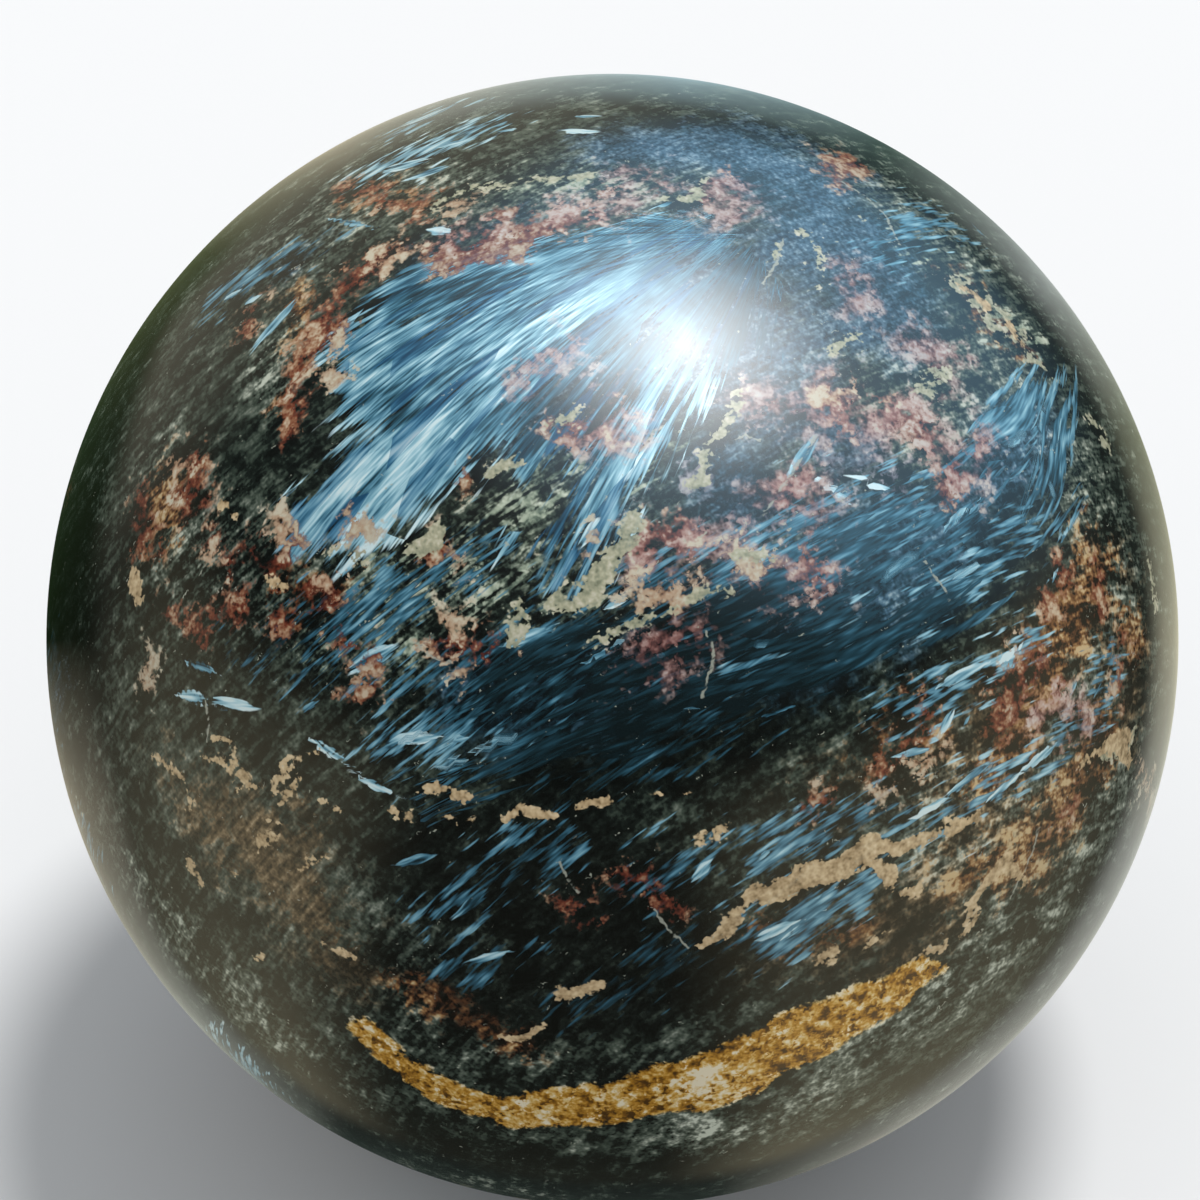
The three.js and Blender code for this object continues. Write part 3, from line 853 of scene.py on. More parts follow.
# %% Dress the hidden side
def dress_hidden_side():
    for _ in range(HIDDEN_SPRAYS):
        size = random.uniform(*SPRAY_SIZES) ** MORE_SMALL_SPRAYS
        length = LONGEST_SPRAY_MM * size
        turn = random.normal(0, SPRAY_STRAYS) + math.pi * random.integers(2)
        path = walk(hidden_direction(), turn, length, LONG_PATH_STEPS, random.normal(0, SPRAY_BENDS))
        if in_whirl(path) or most_along(path, camera_back) > REACH_INTO_VIEW:
            continue
        wide = random.uniform(*SPRAY_HALF_WIDTHS_MM) * size
        tone = random.uniform(*SPRAY_TONES)
        rows = []
        for place, share in zip(path, SPRAY_WIDTHS):
            brightness = TONE_AT_NO_WIDTH + (1 - TONE_AT_NO_WIDTH) * share
            rows.append((*place, wide * share, tone * brightness))
        lay_spray(rows, must=False)
    for _ in range(HIDDEN_STREAKS):
        start, turn = hidden_direction(), random.normal(0, STREAK_STRAYS)
        path = walk(start, turn, random.uniform(*STREAK_LENGTHS_MM), LONG_PATH_STEPS, STREAK_BEND)
        tone = random.uniform(*STREAK_TONES)
        if not in_whirl(path):
            lay_field("streaks", [(*place, random.uniform(*STREAK_RADII_MM), tone) for place in path])
    for _ in range(HIDDEN_FANS):
        path = walk_from_root(hidden_direction(), random.uniform(*FAN_LENGTHS_MM), LONG_PATH_STEPS)
        wide = random.uniform(*FAN_SIZES)
        tone = random.uniform(*FAN_TONES)
        if most_along(path, camera_back) < REACH_INTO_VIEW:
            rows = [(*place, wide * width, tone) for place, width in zip(path, FAN_WIDTHS_MM)]
            lay_field("fan", rows)
    for mineral, (count, radius) in HIDDEN_PATCHES.items():
        for _ in range(count):
            start, turn = hidden_direction(), random.normal(0, PATCH_STRAYS)
            length = radius * random.uniform(*PATCH_LENGTHS_IN_RADII)
            path = walk(start, turn, length, SHORT_PATH_STEPS, PATCH_BEND)
            lay_patch(mineral, [(*place, radius * random.uniform(*PATCH_SIZES)) for place in path])
    for _ in range(HIDDEN_HAIRLINES):
        start, turn = hidden_direction(), random.uniform(*HAIRLINE_TURNS)
        length = random.uniform(*HAIRLINE_LENGTHS_MM)
        lay_hairline(walk(start, turn, length, SHORT_PATH_STEPS, random.normal(0, HAIRLINE_BENDS)))


front_sprays = len(sprays_laid)
dress_hidden_side()
print(f"{len(sprays_laid) - front_sprays} sprays and hairlines on the hidden side")

# %% [markdown]
# ## Hand the numbers to the mesh
#
# A material can read any number that a mesh stores on its corners. Colour attributes carry four
# numbers each, so a spray layer fits in one, and the sixteen mineral depths fit in four.

# %% Store the attributes
NUMBERS_EACH = 4


def store(name, *numbers):
    attribute = ball.data.attributes.new(name, "FLOAT_COLOR", "POINT")
    attribute.data.foreach_set("color", np.stack(numbers, axis=1).astype(np.float32).ravel())


for layer in range(SPRAY_LAYERS + 1):
    store(f"spray_{layer}", *spray_places[layer].T)
store("spray_tones", *spray_tones[:SPRAY_LAYERS], spray_tones[0], spray_tones[0])
tones_there = field_tone / field_weight
store("fibre_fields", field_depth[0], tones_there[0], field_depth[1], tones_there[1])
for group in range(len(MINERALS) // NUMBERS_EACH):
    store(f"minerals_{group}", *mineral_depth[NUMBERS_EACH * group:NUMBERS_EACH * (group + 1)])
stored = [attribute.name for attribute in ball.data.attributes if attribute.data_type == "FLOAT_COLOR"]
print("attributes:", stored)

# %% [markdown]
# ## A flat map of the ball
#
# The six sides of the cube that the ball came from tile a square, three across and two up. With
# this map the pattern can be saved in a picture that wastes nothing and stretches little.

# %% Unfold the ball onto its six sides
MAP_MARGIN = 0.004
SIDES_ACROSS = 3
SIDES_UP = 2


def unfold():
    mesh = ball.data
    loops = np.zeros(len(mesh.loops), np.int64)
    mesh.loops.foreach_get("vertex_index", loops)
    corner = directions[loops]
    sides = len(mesh.polygons[0].vertices)
    face_middle = corner.reshape(-1, sides, 3).mean(axis=1)
    axis = np.abs(face_middle).argmax(axis=1)
    behind = face_middle[np.arange(len(axis)), axis] < 0
    axis = np.repeat(axis, sides)
    behind = np.repeat(behind, sides)
    every = np.arange(len(corner))
    main = np.abs(corner[every, axis])
    first = corner[every, (axis + 1) % 3] / main
    second = corner[every, (axis + 2) % 3] / main
    first = np.where(behind, -first, first)
    spread = [np.clip(np.arctan(part) / (math.pi / 2) + 0.5, 0, 1) for part in (first, second)]
    across = (axis + MAP_MARGIN + spread[0] * (1 - 2 * MAP_MARGIN)) / SIDES_ACROSS
    up = (behind + MAP_MARGIN + spread[1] * (1 - 2 * MAP_MARGIN)) / SIDES_UP
    layer = mesh.uv_layers.new(name="OFBake")
    layer.data.foreach_set("uv", np.stack([across, up], axis=1).astype(np.float32).ravel())


unfold()
print("flat map:", [layer.name for layer in ball.data.uv_layers])


# %% [markdown]
# ## Writing node maths as sums
#
# A material is a tree of small nodes, and most of them only add, multiply or compare. The class
# below stands for one socket that carries a number. Adding two of them adds a Math node and links
# it, so that the rest of the material reads like ordinary arithmetic.
#
# The weights in those sums, and the edges of their smooth steps, have no rule behind them. Each was
# set one after the other, by comparing renders with the photograph.

# %% A number in a node tree
class Number:
    def __init__(self, socket):
        self.socket = socket
        self.tree = socket.id_data

    def math(self, operation, *others, swap=False, **settings):
        values = [other.socket if isinstance(other, Number) else other for other in (self, *others)]
        if swap:
            values.reverse()
        node = add_node(self.tree, "ShaderNodeMath", dict(enumerate(values)), operation=operation, **settings)
        return Number(node.outputs[0])

    def __add__(self, other):
        return self.math("ADD", other)

    def __sub__(self, other):
        return self.math("SUBTRACT", other)

    def __rsub__(self, other):
        return self.math("SUBTRACT", other, swap=True)

    def __mul__(self, other):
        return self.math("MULTIPLY", other)

    def larger(self, other):
        return self.math("MAXIMUM", other)

    def clamped(self):
        return self.math("ADD", 0.0, use_clamp=True)

    def between(self, low, high):
        """0 below low, 1 above high, and a smooth step between them."""
        node = add_node(
            self.tree, "ShaderNodeMapRange", {"Value": self.socket, "From Min": low, "From Max": high},
            interpolation_type="SMOOTHSTEP",
        )
        return Number(node.outputs[0])

    __radd__ = __add__
    __rmul__ = __mul__


# %% Helpers for colours, in any tree
def paint(red, green, blue):
    """A colour from 0 to 255 as an eye reads it on a screen, turned into the light that it stands for."""
    parts = [part / 255 for part in (red, green, blue)]
    return (*(p / 12.92 if p < 0.04045 else ((p + 0.055) / 1.055) ** 2.4 for p in parts), 1)


def ramp(value, stops):
    """A colour for each value, from stops of (value, colour)."""
    node = add_node(value.tree, "ShaderNodeValToRGB", {0: value.socket})
    band = node.color_ramp
    for _ in stops[2:]:
        band.elements.new(0.5)
    for element, (position, colour) in zip(band.elements, stops):
        element.position = position
        element.color = colour
    return node.outputs["Color"]


def shades(value, *stops):
    """A colour for each value, from stops of (value, red, green, blue), with colours from 0 to 255."""
    return ramp(value, [(position, paint(*colour)) for position, *colour in stops])


def over(below, above, cover):
    """Lays the colour above over the one below, where cover is 1."""
    node = add_node(cover.tree, "ShaderNodeMix", data_type="RGBA")
    for name, value in (("Factor_Float", cover.socket), ("A_Color", below), ("B_Color", above)):
        socket = next(s for s in node.inputs if s.identifier == name)
        if isinstance(value, bpy.types.NodeSocket):
            cover.tree.links.new(value, socket)
        else:
            socket.default_value = value
    return next(s for s in node.outputs if s.identifier == "Result_Color")


# %% Helpers for the rock's own tree
polished_rock.use_nodes = True
rock = polished_rock.node_tree
rock.nodes.clear()


def noise(place, per_mm=1.0, detail=2.0, roughness=0.6):
    inputs = {"Vector": place, "Scale": per_mm, "Detail": detail, "Roughness": roughness}
    return Number(add_node(rock, "ShaderNodeTexNoise", inputs).outputs["Fac"])


def cells(place, per_mm=1.0):
    """Distance to the middle of the nearest cell, and a random number that each cell has."""
    node = add_node(rock, "ShaderNodeTexVoronoi", {"Vector": place, "Scale": per_mm})
    parts = add_node(rock, "ShaderNodeSeparateColor", {0: node.outputs["Color"]})
    return Number(node.outputs["Distance"]), Number(parts.outputs[0])


def read(name):
    """The four numbers that the mesh's corners store under a name."""
    node = add_node(rock, "ShaderNodeAttribute", attribute_name=name)
    parts = add_node(rock, "ShaderNodeSeparateColor", {0: node.outputs["Color"]})
    return [Number(socket) for socket in (*parts.outputs, node.outputs["Alpha"])]


def stretched(place, each_way):
    return vector_math(rock, "MULTIPLY", place, each_way)


# %% Places in millimetres, and in the rock's own grain
object_place = add_node(rock, "ShaderNodeTexCoord").outputs["Object"]
place_mm = stretched(object_place, (1 / MM,) * 3)
from_centre = vector_math(rock, "SUBTRACT", object_place, BALL_CENTRE)


def grain_place(fine, slow):
    """Places squeezed along the grain axis, so that noise comes out as layers round that axis."""
    turn = Vector((0, 0, 1)).rotation_difference(Vector(GRAIN_AXIS)).inverted().to_euler()
    turned = add_node(
        rock, "ShaderNodeVectorRotate", {"Vector": from_centre, "Rotation": turn}, rotation_type="EULER_XYZ"
    )
    return stretched(turned.outputs[0], (slow / MM, slow / MM, fine / MM))


# %% What the corners store, and the noises that everything is made from
red, pink, peach, cream = read("minerals_0")
gold, bronze_and_reflection, olive, navy_and_glare = read("minerals_1")
brown_and_reflection, grain, calm, haze_and_glare = read("minerals_2")
lit, dim, rust, lilac = read("minerals_3")

NOISES = {
    "broad": noise(place_mm, 0.11, 2, 0.55),
    "patchy": noise(place_mm, 0.32, 2, 0.6),
    "mottle": noise(place_mm, 0.9, 2, 0.65),
    "fine": noise(place_mm, 2.3, 1, 0.6),
    "felt": noise(grain_place(2.2, 0.4), detail=1.5),
    "layered": noise(grain_place(0.8, 0.17), detail=2),
}


def mixed(start=0.0, **weights):
    """A sum of noises, each measured from its middle value and times its weight."""
    parts = [(NOISES[name] - 0.5) * weight for name, weight in weights.items()]
    total = parts[0]
    for part in parts[1:]:
        total = total + part
    return total + start if start else total


# %% [markdown]
# ## Grains
#
# Seen close, the coloured minerals are grains that differ from their neighbours. Plain noise can't
# quite do that, because it always passes through the colours between. Cells can: each has a random
# number of its own. The cells here are over half a millimetre wide, pulled out along the rock's
# grain and with noise in their outlines, and they are mixed with noise, so that some edges stay soft.

# %% The grains
CELLS_PER_MM = 1.5


def wobbled(place, amount):
    """Places pushed about by noise, so that what is drawn there gets ragged outlines."""
    pushes = {axis: NOISES[name].socket for axis, name in (("X", "mottle"), ("Y", "fine"), ("Z", "patchy"))}
    push = add_node(rock, "ShaderNodeCombineXYZ", pushes).outputs[0]
    centred = vector_math(rock, "SUBTRACT", push, (0.5,) * 3)
    return vector_math(rock, "MULTIPLY_ADD", centred, (amount,) * 3, place)


crystal_middle, NOISES["crystal"] = cells(wobbled(grain_place(1.0, 0.6), 2.0), CELLS_PER_MM)
speck = mixed(0.5, patchy=0.6, mottle=1.5, fine=0.7, crystal=0.34)
blotch = mixed(0.5, patchy=1.1, mottle=1.1, fine=0.5, crystal=0.14)

# %% The ground that everything else lies in
calmness = calm.between(-2.0, 2.5)
busy = grain.between(-4.0, 3.0) * (1 - calmness * 0.8)
# Painted light and shade in places: lit and dim raise and lower the shade for highlights, a sheen and
# mirrored shade, and elsewhere they follow the rock's own tone.
light_there = lit.between(-1.5, 2.0) - dim.between(-1.5, 2.0)
differences = mixed(patchy=0.9, mottle=1.0, layered=0.9, fine=0.8, felt=1.0)
shade = differences * (busy * 0.35 - calmness * 0.2 + 0.65) + busy * 0.12 + light_there * 0.13 + 0.47
dark = shades(
    shade, (0.22, 7, 10, 8), (0.34, 13, 19, 16), (0.45, 26, 34, 29), (0.54, 44, 54, 46),
    (0.63, 66, 76, 66), (0.74, 96, 104, 93), (0.86, 142, 148, 134), (0.97, 182, 188, 172),
)
blue_dark = shades(
    shade, (0.22, 6, 14, 17), (0.34, 11, 25, 31), (0.45, 20, 43, 53), (0.54, 36, 63, 76),
    (0.63, 58, 86, 104), (0.73, 90, 119, 134), (0.84, 138, 158, 166), (0.95, 178, 189, 190),
)
brown_dark = shades(
    shade, (0.22, 10, 8, 5), (0.34, 20, 16, 10), (0.45, 38, 31, 20), (0.54, 62, 51, 35),
    (0.63, 90, 75, 53), (0.73, 126, 108, 80), (0.84, 168, 150, 118), (0.95, 194, 180, 152),
)
rusty = shades(
    shade + 0.03, (0.3, 18, 10, 5), (0.42, 46, 25, 12), (0.52, 82, 48, 24), (0.62, 118, 78, 42),
    (0.73, 154, 116, 72), (0.86, 190, 164, 120),
)
# The navy tint is partly a painted glare and sky reflection at the upper right.
navy_and_glare_cover = navy_and_glare * 0.2 + mixed(0.1, broad=2.0, mottle=1.2)
# The brown tint is partly a painted reflection of brown surroundings, low on either side.
brown_and_reflection_cover = brown_and_reflection * 0.16 + mixed(0.2, broad=-2.0, patchy=1.8, crystal=0.8)
rust_cover = rust * 0.3 + busy * 0.3 + mixed(-0.12, patchy=2.2, mottle=1.6, crystal=0.8)
colour = over(dark, blue_dark, navy_and_glare_cover.between(0.0, 1.0))
colour = over(colour, brown_dark, brown_and_reflection_cover.between(0.0, 1.0))
colour = over(colour, rusty, rust_cover.between(0.0, 0.7) * 0.9)

# %% Laying a mineral: ragged cover from its depth, and shades from the blotches
RAGGEDNESS = 1.4
ragged = mixed(patchy=2.0, mottle=1.7, fine=0.6, crystal=0.4)
drawn_out = ragged * 0.6 + mixed(felt=2.2, layered=1.2)


def mineral_over(below, depth, *stops, gain, shift, softness, strength, edge=ragged):
    """Lays a mineral. Its depth counts gain times, shift moves its edge out, and softness blurs it."""
    cover = (depth * gain + edge * RAGGEDNESS + shift).between(-softness, softness)
    return over(below, shades(blotch + light_there * 0.12, *stops), cover * strength)


colour = mineral_over(
    colour, olive, (0.2, 30, 42, 36), (0.34, 64, 78, 68), (0.46, 106, 120, 104), (0.58, 146, 158, 138),
    (0.74, 180, 188, 168), (0.9, 204, 210, 192),
    gain=0.25, shift=-0.3, softness=0.3, strength=0.9, edge=drawn_out,
)
colour = mineral_over(
    colour, lilac, (0.15, 40, 38, 46), (0.35, 72, 70, 80), (0.5, 104, 102, 112), (0.66, 142, 138, 144),
    (0.85, 180, 176, 176), gain=0.3, shift=-0.2, softness=0.4, strength=0.85,
)

# %% Haze and glare: pale fibres too thin to see one by one, and a painted glare and sky reflection
NOISES["haze_streak"] = noise(grain_place(3.0, 0.3), detail=1.5)
haze_and_glare_amount = haze_and_glare.between(-1.5, 5.0)
haze_and_glare_colour = shades(
    mixed(0.5, haze_streak=0.5, layered=0.4, fine=0.9), (0.3, 30, 54, 74), (0.45, 52, 80, 100),
    (0.6, 82, 108, 126), (0.75, 126, 148, 160),
)
haze_and_glare_cover = haze_and_glare * 0.12 + mixed(0.1, patchy=1.6, haze_streak=0.8, fine=0.8)
colour = over(colour, haze_and_glare_colour, haze_and_glare_cover.between(0.0, 0.9) * 0.8)

# %% [markdown]
# ## Blue fibres
#
# The blue needles are the finest thing in the rock, and they are drawn at three widths: blades over
# a millimetre wide, each with a brightness of its own, then strands of just under one, and needles
# of a third. Strands and needles lean a little to either side, so that they cross. A fibre's shade
# runs from a navy gap, through steel blue, to the cyan white where a cleavage face lights up.
#
# Noise is the costly part of a material. So of the two spray layers, the one that covers more at a
# spot is the one that gets drawn there, and the streaks borrow the noises of the haze and the rock.

# %% The colour of fibres
def fibre_paint(fibre_shade):
    return shades(
        fibre_shade, (0.0, 8, 23, 26), (0.12, 15, 39, 46), (0.24, 28, 62, 75), (0.36, 50, 95, 114),
        (0.48, 84, 132, 152), (0.6, 118, 164, 180), (0.72, 152, 192, 204), (0.84, 180, 212, 220),
        (0.96, 206, 226, 228),
    )


# %% Streaks along the rock's own grain
TONE_WEIGHT = 0.62
fan_depth, fan_tone, streaks_depth, streaks_tone = read("fibre_fields")
streak_spread = mixed(haze_streak=1.5, felt=1.0, layered=0.9)
streak_shade = streaks_tone * TONE_WEIGHT + streak_spread * (streaks_tone * 0.8 + 0.5)
streak_shade = streak_shade + light_there * 0.15 + 0.06
streak_cover = (streaks_depth * 0.35 + mixed(haze_streak=4.0, felt=3.0, layered=3.0)).between(0.0, 0.6)
colour = over(colour, fibre_paint(streak_shade), streak_cover)
silky = streak_cover * streak_shade.clamped()

# %% The sprays, by the numbers across and along them
# Each width of fibre: how fine it is across, and how slowly it changes along.
BLADE_GRAIN = (0.7, 0.08, 1)
STRAND_GRAIN = (1.3, 0.14, 1)
NEEDLE_GRAIN = (3.0, 0.32, 1)
STRAND_LEAN = 0.07
NEEDLE_LEAN = -0.06


def leaning(grain, lean=0.0):
    """Places along the spray's fibres, at an angle to them, for noise that is finer across than along."""
    slanted = across + along * lean
    inputs = {"X": slanted.socket, "Y": along.socket, "Z": number.socket}
    return stretched(add_node(rock, "ShaderNodeCombineXYZ", inputs).outputs[0], grain)


def fibre_mix(blade, strand, needle):
    """How the fibres of one place differ in shade, and how raggedly they end."""
    spread = (blade - 0.5) * 0.3 + (strand - 0.5) * 1.3 + (needle - 0.5) * 1.3
    frayed = (blade - 0.5) * 1.4 + (strand - 0.5) * 3.4 + (needle - 0.5) * 2.4
    return spread, frayed


one_layer = read("spray_0")
other_layer = read("spray_1")
one_tone, other_tone, _, _ = read("spray_tones")
# This is 1 where the other layer covers more, and 0 elsewhere.
pick = other_layer[3].math("GREATER_THAN", one_layer[3])
across, along, number, cover = (one + (other - one) * pick for one, other in zip(one_layer, other_layer))
tone = one_tone + (other_tone - one_tone) * pick
_, blade = cells(leaning(BLADE_GRAIN))
strand = noise(leaning(STRAND_GRAIN, STRAND_LEAN), detail=1.5)
needle = noise(leaning(NEEDLE_GRAIN, NEEDLE_LEAN), detail=1, roughness=0.7)
spread, frayed = fibre_mix(blade, strand, needle)
spray_shade = tone * TONE_WEIGHT + spread * (tone * 0.9 + 0.4) + light_there * 0.15 + 0.07
spray_cover = (cover * 1.3 + frayed + tone * 0.3 - 0.6).between(-0.1, 0.45) * cover.between(-0.3, 0.1)
colour = over(colour, fibre_paint(spray_shade), spray_cover)
silky = (spray_cover * spray_shade.clamped()).larger(silky)

# %% The great fan, by the angle round its root and the distance from it
CROSSING_ROOT_PX = (762, 236)
FAN_REACH_MM = 36


def from_root(root_px, fine, slow):
    """Places squeezed so that noise comes out as fibres that spread from a root on the surface."""
    root = tuple(at_pixel(*root_px))
    toward = vector_math(rock, "NORMALIZE", from_centre)
    aligned = vector_math(rock, "DOT_PRODUCT", toward, root, output="Value")
    upright = vector_math(rock, "SCALE", root, Scale=aligned)
    heading = vector_math(rock, "NORMALIZE", vector_math(rock, "SUBTRACT", toward, upright))
    distance = Number(aligned).math("MINIMUM", 1.0).math("ARCCOSINE") * (RADIUS_MM * slow)
    spread_out = vector_math(rock, "SCALE", heading, Scale=FAN_REACH_MM * fine)
    lifted = vector_math(rock, "SCALE", root, Scale=distance.socket)
    return vector_math(rock, "ADD", spread_out, lifted)


_, blade = cells(from_root(ROOT_PX, 0.7, 0.09))
strand = noise(from_root(CROSSING_ROOT_PX, 1.2, 0.13), detail=1.5)
needle = noise(from_root(ROOT_PX, 3.2, 0.3), detail=1, roughness=0.7)
spread, frayed = fibre_mix(blade, strand, needle)
# Round the glint the painted glare flattens the differences between the fibres.
fan_shade = fan_tone * TONE_WEIGHT + spread * (0.9 - haze_and_glare_amount * 0.7) + light_there * 0.12
fan_shade = fan_shade + mixed(0.06, patchy=0.4)
fan_cover = (fan_depth * 0.55 + frayed + 0.2).between(0.0, 0.6)
blue_blades = (1 - blade.between(0.1, 0.5)) * 0.42
fan_colour = over(fibre_paint(fan_shade), paint(32, 94, 138), blue_blades)
colour = over(colour, fan_colour, fan_cover)
silky = (fan_cover * fan_shade.clamped()).larger(silky)

# %% Red, pink and peach grains
colour = mineral_over(
    colour, red, (0.18, 24, 11, 8), (0.33, 54, 21, 14), (0.44, 88, 34, 22), (0.53, 110, 52, 34),
    (0.61, 132, 84, 60), (0.71, 160, 126, 98), (0.86, 188, 170, 146),
    gain=0.4, shift=-0.14, softness=0.3, strength=0.92,
)
colour = mineral_over(
    colour, pink, (0.12, 58, 36, 40), (0.28, 92, 54, 54), (0.42, 128, 80, 74), (0.54, 152, 112, 104),
    (0.67, 174, 146, 138), (0.86, 188, 178, 172), gain=0.3, shift=-0.06, softness=0.55, strength=0.8,
)
colour = mineral_over(
    colour, peach, (0.15, 88, 58, 40), (0.36, 140, 102, 76), (0.56, 178, 150, 122), (0.8, 192, 184, 162),
    gain=0.4, shift=-0.15, softness=0.25, strength=0.88,
)

# %% Cream, tan and bronze minerals, and the gold band low on the front, which is a painted reflection
flaky = mixed(patchy=1.0, mottle=1.6, fine=0.9, crystal=0.3)
plain = mixed(0.5, mottle=0.6, fine=0.4)
cream_cover = (cream * 0.8 + flaky * 1.1 + mixed(-0.02, felt=1.2)).between(-0.1, 0.12)
cream_colour = shades(
    plain, (0.36, 104, 108, 88), (0.46, 140, 142, 118), (0.56, 168, 166, 140), (0.68, 196, 190, 170)
)
colour = over(colour, cream_colour, cream_cover * 0.95)
# The gold band low on the front is a painted reflection, and lit adds a painted highlight to it.
bronze_and_reflection_cover = (bronze_and_reflection * 0.8 + flaky * 0.8).between(-0.2, 0.2)
bronze_and_reflection_colour = shades(
    speck * 0.9 + NOISES["layered"] * 0.1 + light_there * 0.4, (0.2, 84, 54, 10), (0.33, 132, 88, 18),
    (0.45, 180, 128, 36), (0.56, 208, 158, 66), (0.68, 228, 196, 126), (0.84, 244, 232, 204),
)
colour = over(colour, bronze_and_reflection_colour, bronze_and_reflection_cover)
gold_cover = (gold * 1.5 + flaky * 1.15 - 0.05).between(-0.12, 0.14)
gold_colour = shades(
    plain, (0.34, 116, 96, 66), (0.45, 162, 138, 102), (0.55, 192, 168, 130), (0.68, 212, 192, 156)
)
colour = over(colour, gold_colour, gold_cover * 0.95)

# %% Dust: tiny pale crystals in the middles of the grains' cells
fine = NOISES["fine"]
dot_size = (NOISES["crystal"] - 0.66) * 0.55 + (busy - 0.4) * 0.06
dot_cover = 1 - (crystal_middle - dot_size).between(-0.04, 0.05)
colour = over(colour, paint(164, 168, 152), dot_cover * fine.between(0.3, 0.5) * 0.75)

# %% Hairlines
line_across, _, _, line_cover = read(f"spray_{HAIRLINES}")
wander = mixed(mottle=0.9, fine=0.25)
hairline = 1 - (line_across + wander).math("ABSOLUTE").between(0.05, 0.16)
broken = line_cover.between(0.0, 0.2) * NOISES["felt"].between(0.36, 0.5)
colour = over(colour, paint(162, 164, 150), hairline * broken * 0.75)

# %% [markdown]
# ## The polish
#
# Polished stone shines twice: once from the film-thin glassy face that the last lap leaves, and
# once, more softly, from the grains below it. The clear coat is the first and the base roughness
# is the second. Silicates of this kind bend light more than window glass, so the index is 1.68.
# The fibres are silky: they take a little of the metal's way of shining, which draws the lamp's
# glow out into streaks. The bronze takes more of it, both its blades and the gold band low on the
# front, which is a painted reflection.

# %% The shader
COAT_ROUGHNESS = 0.03
COAT_INDEX = 1.68
BASE_INDEX = 1.2
METAL_OF_FIBRES = 0.16
METAL_OF_BRONZE_AND_REFLECTION = 0.35
ROUGHNESS_OF_GRAINS = 0.42
SMOOTHER_BY_FIBRES = 0.12
metal = (silky * METAL_OF_FIBRES).larger(bronze_and_reflection_cover * METAL_OF_BRONZE_AND_REFLECTION)
roughness = ROUGHNESS_OF_GRAINS - silky * SMOOTHER_BY_FIBRES
surface = add_node(
    rock, "ShaderNodeBsdfPrincipled",
    {"Base Color": colour, "Roughness": roughness.socket, "Metallic": metal.socket, "IOR": BASE_INDEX,
     "Coat Weight": 1.0, "Coat Roughness": COAT_ROUGHNESS, "Coat IOR": COAT_INDEX},
)
add_node(rock, "ShaderNodeOutputMaterial", {"Surface": surface.outputs[0]})
print(f"material: {len(rock.nodes)} nodes")

# %% [markdown]
# ## Floor and light
#
# The floor is plain and pale. An even light comes from all round, and one lamp, high and a little
# behind the ball, gives it a soft shadow. A polished ball mirrors everything round it, and a white
# room would lay a grey veil over the dark rock. So the polish mirrors a room of its own: a broad
# cool light at the upper right, the lamp with a glow round it, something brown low on either side,
# and the dark elsewhere. A ray knows what kind it is, and that picks one room or the other.

# %% The room that the polish mirrors
DARK_SIDE = (0.02, 0.026, 0.022, 1)
COOL_LIGHT = (0.5, 0.92, 1.25, 1)
BROWN_LOW = (0.44, 0.4, 0.27, 1)
TAN_LIGHT = (0.34, 0.32, 0.24, 1)
# What stands behind the ball, once round it: from its left side past its foot, right side and top.
BEHIND = (
    (0.0, (0.006, 0.014, 0.004, 1)), (0.05, (0.44, 0.4, 0.3, 1)), (0.12, (0.42, 0.44, 0.38, 1)),
    (0.17, (0.03, 0.04, 0.035, 1)), (0.28, (0.03, 0.04, 0.035, 1)), (0.34, (0.44, 0.44, 0.38, 1)),
    (0.44, (0.6, 0.62, 0.56, 1)), (0.5, (0.66, 0.63, 0.46, 1)), (0.56, (0.3, 0.32, 0.22, 1)),
    (0.61, (0.5, 0.55, 0.52, 1)), (0.67, (0.07, 0.12, 0.1, 1)), (0.73, (0.45, 0.62, 0.66, 1)),
    (0.79, (0.6, 0.62, 0.54, 1)), (0.83, (0.6, 0.55, 0.4, 1)), (0.88, (0.1, 0.12, 0.05, 1)),
    (0.94, (0.025, 0.045, 0.018, 1)), (1.0, (0.006, 0.014, 0.004, 1)),
)
# Each pair holds the two values between which a light fades in or out.
COOL_EDGES = (0.42, 0.84)
TAN_EDGES = (0.72, 0.95)
LOW_EDGES = (-0.1, 0.3)
FRONT_EDGES = (-0.5, 0.1)
# The dark gap in the brown light: its two sides, by how far sideways a ray looks for each step
# toward the front, and its end, by how far back the ray looks.
GAP_LEFT = (-1.3, -0.6)
GAP_RIGHT = (0.1, 0.6)
GAP_END = (-0.2, 0.0)
LEAST_STEP = 0.05
# The ring behind the ball, in ball radii: how wide it is, and how far back it stands.
RING_WIDTH = 0.94
RING_DEPTH = 0.34
RING_EDGES = (0.6, 1.1)
LEFT_EDGES = (0.78, 0.97)
ALMOST_NOTHING = 0.001
cool_direction = Vector(unit(camera_right * 0.4 + camera_up * 0.87 + camera_back * 0.28))
tan_direction = Vector(unit(camera_right * -0.5 + camera_up * 0.62 - camera_back * 0.6))


def facing(tree, looking, direction):
    """How squarely a ray looks in a direction, from -1 to 1."""
    return Number(vector_math(tree, "DOT_PRODUCT", looking, tuple(direction), output="Value"))


